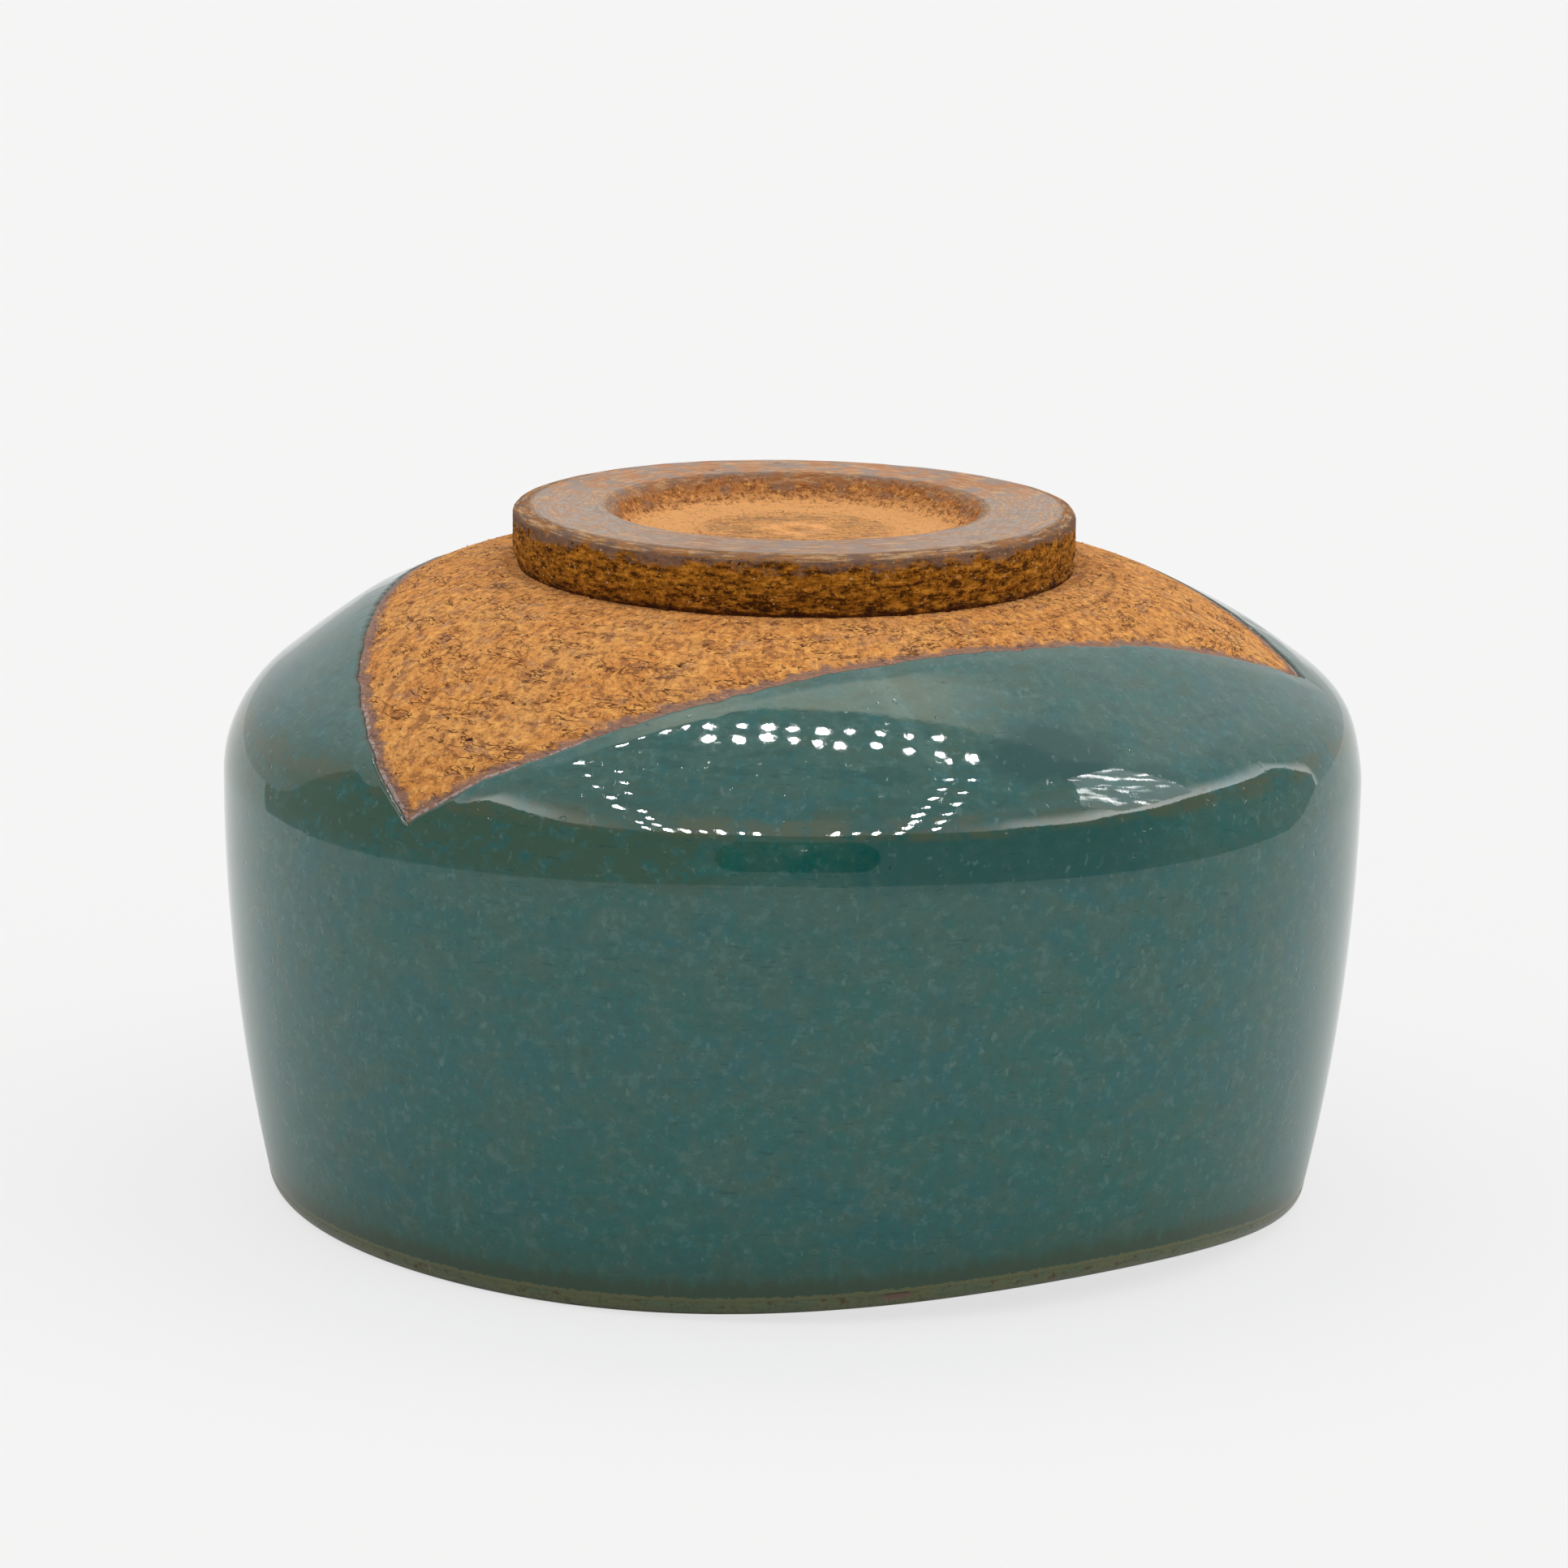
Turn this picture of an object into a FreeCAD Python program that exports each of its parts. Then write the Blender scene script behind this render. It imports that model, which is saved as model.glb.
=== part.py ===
"""A wheel-thrown stoneware bowl, modelled mouth down on its lip with its turned foot up.

The clay body, the turned foot and each coat of glaze are separate solids that meet face to face.
Millimetres. +Z is up along the throwing axis, and Z = 0 is the surface that the lip stands on.
"""
import FreeCAD, Part
import math
import os

import Sketcher

Vec = FreeCAD.Vector

# Driving dimensions: cell alias, value, what it is.
DIMENSIONS = [
    # outside of the finished wall, glaze included
    ("belly_radius", 60.0, "widest radius of the wall"),
    ("belly_height", 44.5, "height of the widest point above the lip"),
    ("wall_curve", 200.0, "radius of the wall's slow curve in towards the lip"),
    ("shoulder_curve", 14.5, "radius of the turn from wall to hip"),
    ("shoulder_sweep", 51.0, "angle of that turn, in degrees"),
    ("hip_curve", 70.0, "radius of the long slope above the shoulder"),
    ("crown_curve", 32.0, "radius of the curve that runs in under the foot"),
    ("seat_radius", 29.5, "radius of the flat that the foot stands up from"),
    ("seat_height", 66.8, "height of that flat, in bare clay"),
    # hollow of the finished bowl
    ("hollow_radius", 55.4, "widest radius of the hollow"),
    ("hollow_height", 40.5, "height of the widest point of the hollow"),
    ("hollow_wall_curve", 205.0, "radius of the hollow's curve in towards the lip"),
    ("hollow_turn", 14.0, "radius of the turn from the hollow's wall to its floor"),
    ("hollow_sweep", 66.0, "angle of that turn, in degrees"),
    # glaze
    ("glaze", 0.5, "thickness of every coat of glaze"),
    ("lip_band", 1.7, "height of the thin, broken coat on the lip"),
    ("glazed_lip_round", 1.7, "edge radius of the finished lip"),
    ("clay_lip_round", 1.2, "edge radius of the clay lip under the glaze"),
    # the lip rises and falls between three points that touch the surface below
    ("lip_rise", 1.95, "height of the lip's waves, midway between high and low"),
    ("lip_bias", 0.9, "how much the waves differ from one side to the other"),
    ("lip_phase", -2.0, "direction of one low point, in degrees from +X"),
    ("lip_bias_phase", 10.0, "direction of the high side, in degrees from +X"),
    # three dips, each tilted so that the glaze runs up one side as far as the hip
    ("first_dip_side", 162.3, "direction of the deep side of the first dip, in degrees"),
    ("first_dip_tilt", 39.6, "tilt of the bowl in the first dip, in degrees"),
    ("first_dip_level", 29.7, "height of the glaze on the bowl's axis in the first dip"),
    ("second_dip_side", 298.4, "the same for the second dip"),
    ("second_dip_tilt", 41.8, ""),
    ("second_dip_level", 28.7, ""),
    ("third_dip_side", 50.0, "the same for the third dip"),
    ("third_dip_tilt", 40.0, ""),
    ("third_dip_level", 32.0, ""),
    # the turned foot
    ("foot_radius", 29.6, "outer radius of the foot"),
    ("foot_undercut", 0.5, "how far the foot draws in at its root"),
    ("foot_face_height", 72.74, "height of the flat face that the bowl stands on in use"),
    ("foot_bevel_radius", 27.9, "radius where that face starts to slope to its outer edge"),
    ("foot_bevel_drop", 0.4, "how far it slopes down to the outer edge"),
    ("well_radius", 19.9, "radius of the well at the foot's face"),
    ("well_floor_radius", 17.2, "radius of the well at its floor"),
    ("well_floor_height", 69.9, "height of the well's floor"),
    ("boss_radius", 10.4, "radius of the low boss left in the middle of the well"),
    ("boss_rise", 0.35, "height of the boss above the well's floor"),
    ("foot_edge_round", 0.7, "outer edge radius of the foot"),
    ("well_edge_round", 1.4, "edge radius where the face turns into the well"),
]

LIP_OVERRUN = 5.0        # how far the turned forms run past the lip before it is cut
WAVE_POINTS = 36         # points round the lip that its wave is worked out at
TOOL_SIZE = 200.0        # side of the blocks that stand for the glaze bath
INSIDE_MARGIN = 1.5      # how far the tool that parts inside from outside stands in the clay

doc = FreeCAD.newDocument("stoneware_bowl")
dims = doc.addObject("Spreadsheet::Sheet", "dims")
for row, (alias, value, note) in enumerate(DIMENSIONS, start=1):
    dims.set(f"A{row}", alias)
    dims.set(f"B{row}", str(value))
    dims.set(f"C{row}", note)
    dims.setAlias(f"B{row}", alias)
doc.recompute()


def number(expression):
    """The value of an expression of the sheet's cells, worked out in a spare cell."""
    dims.set("E1", "=" + expression.replace("dims.", ""))
    dims.recompute()
    return float(dims.get("E1"))


def size(alias):
    """The number in the sheet's cell of that name."""
    return float(dims.get(alias))


def add(kind, name, **properties):
    """A document object of that kind, with its properties set and itself worked out."""
    made = doc.addObject(kind, name)
    made.Label = name
    for key, value in properties.items():
        setattr(made, key, value)
    doc.recompute()
    return made


def cut(name, base, tool):
    return add("Part::Cut", name, Base=base, Tool=tool)


def common(name, base, tool):
    return add("Part::Common", name, Base=base, Tool=tool)


# ---- turned profiles: half sections in the XZ plane, spun about Z ----

def new_profile(name):
    """A body with an empty sketch on its own XZ plane."""
    body = doc.addObject("PartDesign::Body", name)
    body.Label = name
    sketch = body.newObject("Sketcher::SketchObject", name + "_profile")
    plane = next(f for f in body.Origin.OriginFeatures if f.Role == "XZ_Plane")
    sketch.AttachmentSupport = (plane, [""])
    sketch.MapMode = "FlatFace"
    return body, sketch


def spin(body, sketch):
    """Turns the sketch through a full circle about the bowl's axis."""
    turned = body.newObject("PartDesign::Revolution", body.Name + "_turned")
    turned.Profile = sketch
    turned.ReferenceAxis = (sketch, ["V_Axis"])
    turned.Angle = 360.0
    doc.recompute()
    return turned


def bind(sketch, constraint, name, expression):
    """Adds a named constraint to the sketch and ties it to the sheet."""
    index = sketch.addConstraint(constraint)
    sketch.renameConstraint(index, name)
    sketch.setExpression("Constraints." + name, expression)


def line(sketch, start, end):
    return sketch.addGeometry(Part.LineSegment(Vec(*start, 0), Vec(*end, 0)), False)


def arc(sketch, centre, radius, start_deg, end_deg):
    circle = Part.Circle(Vec(*centre, 0), Vec(0, 0, 1), radius)
    span = Part.ArcOfCircle(circle, math.radians(start_deg), math.radians(end_deg))
    return sketch.addGeometry(span, False)


def join(sketch, first, first_end, second, second_end):
    sketch.addConstraint(Sketcher.Constraint("Coincident", first, first_end, second, second_end))


def smooth(sketch, first, first_end, second, second_end):
    sketch.addConstraint(Sketcher.Constraint("Tangent", first, first_end, second, second_end))


START, END, CENTRE = 1, 2, 3
ORIGIN, ORIGIN_POINT = -1, 1
VERTICAL_AXIS = -2


def along(centre, radius, degrees):
    """The point of a circle in that direction."""
    turn = math.radians(degrees)
    return centre[0] + radius * math.cos(turn), centre[1] + radius * math.sin(turn)


def toward(point, radius, degrees):
    """The centre of a circle whose point in that direction is the given one."""
    turn = math.radians(degrees)
    return point[0] - radius * math.cos(turn), point[1] - radius * math.sin(turn)


def outside_form(name, beneath):
    """The outside as one lump, beneath that depth of glaze: wall, shoulder, hip and crown."""
    body, sketch = new_profile(name)
    names = ("wall_curve", "shoulder_curve", "hip_curve", "crown_curve")
    radii = {curve: number(f"dims.{curve} - {beneath}") for curve in names}
    belly = (number(f"dims.belly_radius - {beneath}"), size("belly_height"))
    sweep = size("shoulder_sweep")
    hip_end, crown_end = sweep + 12.5, 86.0     # where the solver starts looking
    wall_centre = toward(belly, radii["wall_curve"], 0)
    shoulder_centre = toward(belly, radii["shoulder_curve"], 0)
    shoulder_top = along(shoulder_centre, radii["shoulder_curve"], sweep)
    hip_centre = toward(shoulder_top, radii["hip_curve"], sweep)
    hip_top = along(hip_centre, radii["hip_curve"], hip_end)
    crown_centre = toward(hip_top, radii["crown_curve"], hip_end)
    crown_top = along(crown_centre, radii["crown_curve"], crown_end)

    wall_drop = math.degrees(math.asin((belly[1] + LIP_OVERRUN) / radii["wall_curve"]))
    wall_foot = along(wall_centre, radii["wall_curve"], -wall_drop)
    wall = arc(sketch, wall_centre, radii["wall_curve"], -wall_drop, 0)
    shoulder = arc(sketch, shoulder_centre, radii["shoulder_curve"], 0, sweep)
    hip = arc(sketch, hip_centre, radii["hip_curve"], sweep, hip_end)
    crown = arc(sketch, crown_centre, radii["crown_curve"], hip_end, crown_end)
    seat = line(sketch, crown_top, (0, crown_top[1]))
    axis = line(sketch, (0, crown_top[1]), (0, -LIP_OVERRUN))
    mouth = line(sketch, (0, -LIP_OVERRUN), wall_foot)

    smooth(sketch, wall, END, shoulder, START)
    smooth(sketch, shoulder, END, hip, START)
    smooth(sketch, hip, END, crown, START)
    join(sketch, crown, END, seat, START)
    join(sketch, seat, END, axis, START)
    join(sketch, axis, END, mouth, START)
    join(sketch, mouth, END, wall, START)
    for level in (seat, mouth):
        sketch.addConstraint(Sketcher.Constraint("Horizontal", level))
    for end in (START, END):
        sketch.addConstraint(Sketcher.Constraint("PointOnObject", axis, end, VERTICAL_AXIS))
    sketch.addConstraint(Sketcher.Constraint("Horizontal", wall, CENTRE, wall, END))

    for curve, piece in zip(names, (wall, shoulder, hip, crown)):
        bind(sketch, Sketcher.Constraint("Radius", piece, radii[curve]), curve,
             f"dims.{curve} - {beneath}")
    bind(sketch, Sketcher.Constraint("DistanceX", ORIGIN, ORIGIN_POINT, wall, END, belly[0]),
         "belly_radius", f"dims.belly_radius - {beneath}")
    bind(sketch, Sketcher.Constraint("DistanceY", ORIGIN, ORIGIN_POINT, wall, END, belly[1]),
         "belly_height", "dims.belly_height")
    bind(sketch, Sketcher.Constraint("Angle", shoulder, math.radians(sweep)),
         "shoulder_sweep", "dims.shoulder_sweep * 1 deg")
    bind(sketch, Sketcher.Constraint("DistanceX", ORIGIN, ORIGIN_POINT, crown, END,
                                     size("seat_radius")), "seat_radius", "dims.seat_radius")
    seat_height = f"dims.seat_height + dims.glaze - {beneath}"
    bind(sketch, Sketcher.Constraint("DistanceY", ORIGIN, ORIGIN_POINT, crown, END,
                                     number(seat_height)), "seat_height", seat_height)
    sketch.addConstraint(Sketcher.Constraint("DistanceY", mouth, START, ORIGIN, ORIGIN_POINT,
                                             LIP_OVERRUN))
    return spin(body, sketch)


def hollow_form(name, behind):
    """The hollow as one lump, that far behind its glazed surface: wall, turn and domed floor."""
    body, sketch = new_profile(name)
    wall_curve = number(f"dims.hollow_wall_curve + {behind}")
    turn_curve = number(f"dims.hollow_turn + {behind}")
    widest = (number(f"dims.hollow_radius + {behind}"), size("hollow_height"))
    sweep = size("hollow_sweep")
    wall_centre = toward(widest, wall_curve, 0)
    turn_centre = toward(widest, turn_curve, 0)
    turn_top = along(turn_centre, turn_curve, sweep)
    floor_curve = turn_top[0] / math.cos(math.radians(sweep))
    floor_centre = toward(turn_top, floor_curve, sweep)
    floor_top = (0, floor_centre[1] + floor_curve)

    overrun = 2 * LIP_OVERRUN
    wall_drop = math.degrees(math.asin((widest[1] + overrun) / wall_curve))
    wall_foot = along(wall_centre, wall_curve, -wall_drop)
    wall = arc(sketch, wall_centre, wall_curve, -wall_drop, 0)
    turn = arc(sketch, turn_centre, turn_curve, 0, sweep)
    floor = arc(sketch, floor_centre, floor_curve, sweep, 90)
    axis = line(sketch, floor_top, (0, -overrun))
    mouth = line(sketch, (0, -overrun), wall_foot)

    smooth(sketch, wall, END, turn, START)
    smooth(sketch, turn, END, floor, START)
    join(sketch, floor, END, axis, START)
    join(sketch, axis, END, mouth, START)
    join(sketch, mouth, END, wall, START)
    sketch.addConstraint(Sketcher.Constraint("Horizontal", mouth))
    sketch.addConstraint(Sketcher.Constraint("Horizontal", wall, CENTRE, wall, END))
    for piece, point in ((axis, START), (axis, END), (floor, CENTRE)):
        sketch.addConstraint(Sketcher.Constraint("PointOnObject", piece, point, VERTICAL_AXIS))

    bind(sketch, Sketcher.Constraint("Radius", wall, wall_curve),
         "hollow_wall_curve", f"dims.hollow_wall_curve + {behind}")
    bind(sketch, Sketcher.Constraint("Radius", turn, turn_curve),
         "hollow_turn", f"dims.hollow_turn + {behind}")
    bind(sketch, Sketcher.Constraint("Angle", turn, math.radians(sweep)),
         "hollow_sweep", "dims.hollow_sweep * 1 deg")
    bind(sketch, Sketcher.Constraint("DistanceX", ORIGIN, ORIGIN_POINT, wall, END, widest[0]),
         "hollow_radius", f"dims.hollow_radius + {behind}")
    bind(sketch, Sketcher.Constraint("DistanceY", ORIGIN, ORIGIN_POINT, wall, END, widest[1]),
         "hollow_height", "dims.hollow_height")
    sketch.addConstraint(Sketcher.Constraint("DistanceY", mouth, START, ORIGIN, ORIGIN_POINT,
                                             overrun))
    return spin(body, sketch)


# ---- the lip's wave ----

def lip_height(turn):
    """Height of the lip in that direction, in radians: nought at three points, higher between."""
    waves = (1 - math.cos(3 * (turn - math.radians(size("lip_phase"))))) / 2
    bias = 1 + size("lip_bias") * math.cos(turn - math.radians(size("lip_bias_phase")))
    return size("lip_rise") * waves * bias


def lip_tool(name, raised):
    """Everything below the wavy lip line, raised by that much."""
    loops = []
    for radius in (size("hollow_radius") - 20, size("belly_radius") + 10):
        turns = [2 * math.pi * i / WAVE_POINTS for i in range(WAVE_POINTS)]
        points = [Vec(radius * math.cos(t), radius * math.sin(t), lip_height(t) + raised)
                  for t in turns]
        curve = Part.BSplineCurve()
        curve.interpolate(Points=points, PeriodicFlag=True)
        loops.append(curve.toShape())
    wave = Part.makeRuledSurface(*loops)
    return add("Part::Feature", name, Shape=wave.extrude(Vec(0, 0, -4 * LIP_OVERRUN)))


def round_lip(name, wall, radius):
    """The wall with both edges of its wavy lip rounded."""
    highest = max(lip_height(math.radians(d)) for d in range(360)) + size("glaze")
    edges = [(index, radius, radius) for index, edge in enumerate(wall.Shape.Edges, start=1)
             if edge.isClosed() and edge.BoundBox.ZMax < highest + 0.1
             and edge.BoundBox.XLength > size("hollow_radius")]
    return add("Part::Fillet", name, Base=wall, Edges=edges)


# ---- the bowl's wall: finished size, then the clay inside its glaze ----

outside = outside_form("outside_form", "0")
hollow = hollow_form("hollow_form", "0")
lip_line = lip_tool("lip_line", 0)
clay_lip_line = lip_tool("clay_lip_line", size("glaze"))
band_line = lip_tool("band_line", size("lip_band"))

glazed_blank = cut("glazed_blank", cut("glazed_lump", outside, hollow), lip_line)
glazed_wall = round_lip("glazed_wall", glazed_blank, size("glazed_lip_round"))

clay_outside = outside_form("clay_outside", "dims.glaze")
clay_hollow = hollow_form("clay_hollow", "dims.glaze")
clay_blank = cut("clay_blank", cut("clay_lump", clay_outside, clay_hollow), clay_lip_line)
clay_body = round_lip("clay_body", clay_blank, size("clay_lip_round"))

# ---- glaze: one skin all over, parted into the coats that it was laid on in ----

glaze_skin = cut("glaze_skin", glazed_wall, clay_body)
lip_glaze = common("lip_glaze", glaze_skin, band_line)
skin_above_lip = cut("skin_above_lip", glaze_skin, band_line)
inside_tool = hollow_form("inside_tool", f"(dims.glaze + {INSIDE_MARGIN})")
inside_glaze = common("inside_glaze", skin_above_lip, inside_tool)
outside_skin = cut("outside_skin", skin_above_lip, inside_tool)


def glaze_bath(name):
    """The glaze in the bucket at one dip: a block whose top face is the surface of the glaze."""
    side = math.radians(size(name + "_side"))
    tilt = math.radians(size(name + "_tilt"))
    up = Vec(-math.cos(side) * math.sin(tilt), -math.sin(side) * math.sin(tilt), math.cos(tilt))
    turn = FreeCAD.Rotation(Vec(0, 0, 1), up)
    corner = turn.multVec(Vec(-TOOL_SIZE / 2, -TOOL_SIZE / 2, -TOOL_SIZE))
    place = FreeCAD.Placement(Vec(0, 0, size(name + "_level")) + corner, turn)
    return add("Part::Box", name + "_bath", Length=TOOL_SIZE, Width=TOOL_SIZE,
               Height=TOOL_SIZE, Placement=place)


baths = [glaze_bath(name) for name in ("first_dip", "second_dip", "third_dip")]
first_dip = common("first_dip_glaze", outside_skin, baths[0])
left_by_first = cut("left_by_first", outside_skin, baths[0])
second_dip = common("second_dip_glaze", left_by_first, baths[1])
left_by_second = cut("left_by_second", left_by_first, baths[1])
third_dip = common("third_dip_glaze", left_by_second, baths[2])


# ---- the turned foot, with its shallow well and low boss ----

def ring_edge(solid, radius, height):
    """The name of the level round edge of that radius at that height."""
    for index, edge in enumerate(solid.Shape.Edges, start=1):
        box = edge.BoundBox
        level = box.ZLength < 1e-6 and abs(box.ZMin - height) < 1e-6
        if level and abs(box.XMax - radius) < 1e-3:
            return f"Edge{index}"
    raise ValueError(f"no edge of radius {radius} at height {height}")


def turned_foot():
    """Ring, well and boss as one turned piece, with its edges rounded."""
    body, sketch = new_profile("foot_ring")
    root = "dims.seat_height"
    outline = [  # radius, height: each an expression of the sheet's cells
        ("dims.foot_radius - dims.foot_undercut", root),
        ("dims.foot_radius", f"{root} + 3 * dims.foot_undercut"),
        ("dims.foot_radius", "dims.foot_face_height - dims.foot_bevel_drop"),
        ("dims.foot_bevel_radius", "dims.foot_face_height"),
        ("dims.well_radius", "dims.foot_face_height"),
        ("dims.well_floor_radius", "dims.well_floor_height"),
        ("dims.boss_radius", "dims.well_floor_height"),
        ("dims.boss_radius - dims.boss_rise", "dims.well_floor_height + dims.boss_rise"),
        ("0", "dims.well_floor_height + dims.boss_rise"),
        ("0", root),
    ]
    points = [(number(r), number(h)) for r, h in outline]
    count = len(points)
    sides = [line(sketch, points[i], points[(i + 1) % count]) for i in range(count)]
    for i in range(count):
        join(sketch, sides[i], END, sides[(i + 1) % count], START)
    for i, (radius, height) in enumerate(outline):
        for axis, expression, value in (("DistanceX", radius, points[i][0]),
                                        ("DistanceY", height, points[i][1])):
            if expression == "0":
                sketch.addConstraint(Sketcher.Constraint("PointOnObject", sides[i], START,
                                                         VERTICAL_AXIS))
                continue
            bind(sketch, Sketcher.Constraint(axis, ORIGIN, ORIGIN_POINT, sides[i], START, value),
                 f"{'r' if axis == 'DistanceX' else 'h'}{i}", expression)
    rounded = spin(body, sketch)
    outer_height = size("foot_face_height") - size("foot_bevel_drop")
    for name, radius, height, amount in (
            ("outer_edge", size("foot_radius"), outer_height, "foot_edge_round"),
            ("well_edge", size("well_radius"), size("foot_face_height"), "well_edge_round"),
            ("well_root", size("well_floor_radius"), size("well_floor_height"), "well_edge_round")):
        rounding = body.newObject("PartDesign::Fillet", name)
        rounding.Base = (rounded, [ring_edge(rounded, radius, height)])
        rounding.Radius = size(amount)
        rounding.setExpression("Radius", f"dims.{amount}")
        doc.recompute()
        rounded = rounding
    body.Tip = rounded
    doc.recompute()
    return body


foot_ring = turned_foot()

# ---- check, then write one file for each sub-part ----

SUB_PARTS = [clay_body, foot_ring, first_dip, second_dip, third_dip, inside_glaze, lip_glaze]

for made in doc.Objects:
    if {"Invalid", "Error"} & set(made.State):
        raise RuntimeError(f"{made.Name} did not compute: {made.State}")

os.makedirs("parts", exist_ok=True)
for part in SUB_PARTS:
    shape = part.Shape
    if shape.isNull() or not shape.isValid() or not shape.Solids:
        raise RuntimeError(f"{part.Label} is not a valid solid")
    shape.exportStep(f"parts/{part.Label}.step")
    box = shape.BoundBox
    print(f"{part.Label}: {len(shape.Solids)} solid, {shape.Volume / 1000:.3f} cm3, "
          f"z {box.ZMin:.2f} to {box.ZMax:.2f}")
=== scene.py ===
"""A wheel-thrown stoneware tea bowl standing mouth down on its lip, dressed over its CAD solids.

The studio's sizes are metres. The bowl's are millimetres until its meshes are made, in metres.
"""

import math

import bmesh
import bpy
import numpy as np
from mathutils import Euler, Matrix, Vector, noise


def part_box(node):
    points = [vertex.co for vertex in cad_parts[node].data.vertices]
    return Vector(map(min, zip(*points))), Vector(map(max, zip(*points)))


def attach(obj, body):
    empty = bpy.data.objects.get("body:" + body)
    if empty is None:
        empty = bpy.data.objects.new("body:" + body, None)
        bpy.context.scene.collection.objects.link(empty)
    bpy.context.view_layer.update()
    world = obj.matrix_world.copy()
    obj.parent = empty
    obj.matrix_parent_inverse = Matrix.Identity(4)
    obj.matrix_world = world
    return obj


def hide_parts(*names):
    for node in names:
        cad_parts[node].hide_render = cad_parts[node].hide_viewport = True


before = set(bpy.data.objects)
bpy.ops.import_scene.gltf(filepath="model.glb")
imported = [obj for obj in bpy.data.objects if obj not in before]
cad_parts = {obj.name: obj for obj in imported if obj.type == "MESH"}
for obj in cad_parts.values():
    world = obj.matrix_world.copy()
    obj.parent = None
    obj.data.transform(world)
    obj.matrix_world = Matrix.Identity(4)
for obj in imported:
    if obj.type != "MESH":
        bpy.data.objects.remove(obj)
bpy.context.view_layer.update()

MM = 0.001
scene = bpy.context.scene
scene.view_settings.view_transform = "Standard"


# ---- The viewpoint -----------------------------------------------------------
# A long lens looks a little down on the bowl from the front, so that the foot's well just shows.

AIM = Vector((0.0, 0.0, 0.036))
CAMERA_DISTANCE = 0.70
CAMERA_HEIGHT_ANGLE = math.radians(13.1)
CAMERA_ROLL = math.radians(0.82)

camera_data = bpy.data.cameras.new("viewpoint")
camera_data.lens = 151.5
camera_data.sensor_width = 36.0
camera_data.shift_x = -0.0048
camera_data.shift_y = 0.0392
camera = bpy.data.objects.new("viewpoint", camera_data)
scene.collection.objects.link(camera)
camera.location = AIM + CAMERA_DISTANCE * Vector(
    (0, -math.cos(CAMERA_HEIGHT_ANGLE), math.sin(CAMERA_HEIGHT_ANGLE)))
facing = (AIM - camera.location).to_track_quat("-Z", "Y").to_matrix().to_4x4()
roll = Euler((0, 0, CAMERA_ROLL)).to_matrix().to_4x4()
camera.rotation_euler = (facing @ roll).to_euler()
scene.camera = camera


# ---- The studio --------------------------------------------------------------
# A pale floor and backdrop, a bright ceiling, and a dimmer room beyond the open front of the table.
# The ceiling's lamp, a dark card and a creased cloth show only as reflections in the glaze.

def add(tree, kind, **settings):
    """A node of that kind. Settings name its properties, or its inputs by their labels."""
    node = tree.nodes.new(kind)
    for key, value in settings.items():
        if hasattr(node, key):
            setattr(node, key, value)
        else:
            node.inputs[key.replace("_", " ")].default_value = value
    return node


def feed(tree, socket, value):
    """Links a socket to another socket, or sets it to a constant."""
    if isinstance(value, bpy.types.NodeSocket):
        tree.links.new(value, socket)
    else:
        socket.default_value = value


def calc(tree, operation, *values):
    """A sum, product or other operation on numbers."""
    node = add(tree, "ShaderNodeMath", operation=operation)
    for socket, value in zip(node.inputs, values):
        feed(tree, socket, value)
    return node.outputs[0]


def fold(tree, operation, first, *others):
    """The same operation taken over any number of numbers."""
    for value in others:
        first = calc(tree, operation, first, value)
    return first


def times(tree, *values):
    """The product of those numbers."""
    return fold(tree, "MULTIPLY", *values)


def plus(tree, *values):
    """Their sum."""
    return fold(tree, "ADD", *values)


def most(tree, *values):
    """The highest of them."""
    return fold(tree, "MAXIMUM", *values)


def vector_calc(tree, operation, *values, output=0):
    """An operation on vectors."""
    node = add(tree, "ShaderNodeVectorMath", operation=operation)
    for socket, value in zip(node.inputs, values):
        feed(tree, socket, value)
    return node.outputs[output]


def length(tree, vector):
    """The length of a vector."""
    return vector_calc(tree, "LENGTH", vector, output="Value")


def parts(tree, vector):
    """The three numbers of a vector."""
    node = add(tree, "ShaderNodeSeparateXYZ")
    feed(tree, node.inputs[0], vector)
    return node.outputs


def band(tree, value, low, high):
    """0 where value is at low or beyond, 1 at high or beyond, and smooth between."""
    node = add(tree, "ShaderNodeMapRange", interpolation_type="SMOOTHSTEP")
    feed(tree, node.inputs["Value"], value)
    node.inputs["From Min"].default_value = low
    node.inputs["From Max"].default_value = high
    return node.outputs[0]


def blend(tree, amount, first, second):
    """A colour between two others."""
    node = add(tree, "ShaderNodeMix", data_type="RGBA")
    feed(tree, node.inputs[0], amount)
    feed(tree, node.inputs[6], first if not isinstance(first, tuple) else (*first, 1.0))
    feed(tree, node.inputs[7], second if not isinstance(second, tuple) else (*second, 1.0))
    return node.outputs[2]


def layers(tree, colour, *rows):
    """Colours laid over one another. A row is a colour, and shares whose product says how much
    of it shows."""
    for shade, *shares in rows:
        colour = blend(tree, times(tree, *shares), colour, shade)
    return colour


def cloud(tree, position, size, detail=3.0, roughness=0.55, shift=0.0, warp=0.0):
    """Noise about 0.5 whose blotches are about `size` across, in the position's own units."""
    stretch = size if isinstance(size, tuple) else (size, size, size)
    scaled = vector_calc(tree, "MULTIPLY", position, tuple(1.0 / side for side in stretch))
    moved = vector_calc(tree, "ADD", scaled, (shift, shift * 1.7, shift * 0.6))
    node = add(tree, "ShaderNodeTexNoise", Scale=1.0, Detail=detail, Roughness=roughness,
               Distortion=warp)
    feed(tree, node.inputs["Vector"], moved)
    return node.outputs["Fac"]


def ragged(tree, value, field, amount):
    """A value moved either way by a cloud, so that a line drawn where it is nought wanders."""
    return plus(tree, value, times(tree, calc(tree, "SUBTRACT", field, 0.5), amount))


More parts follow.
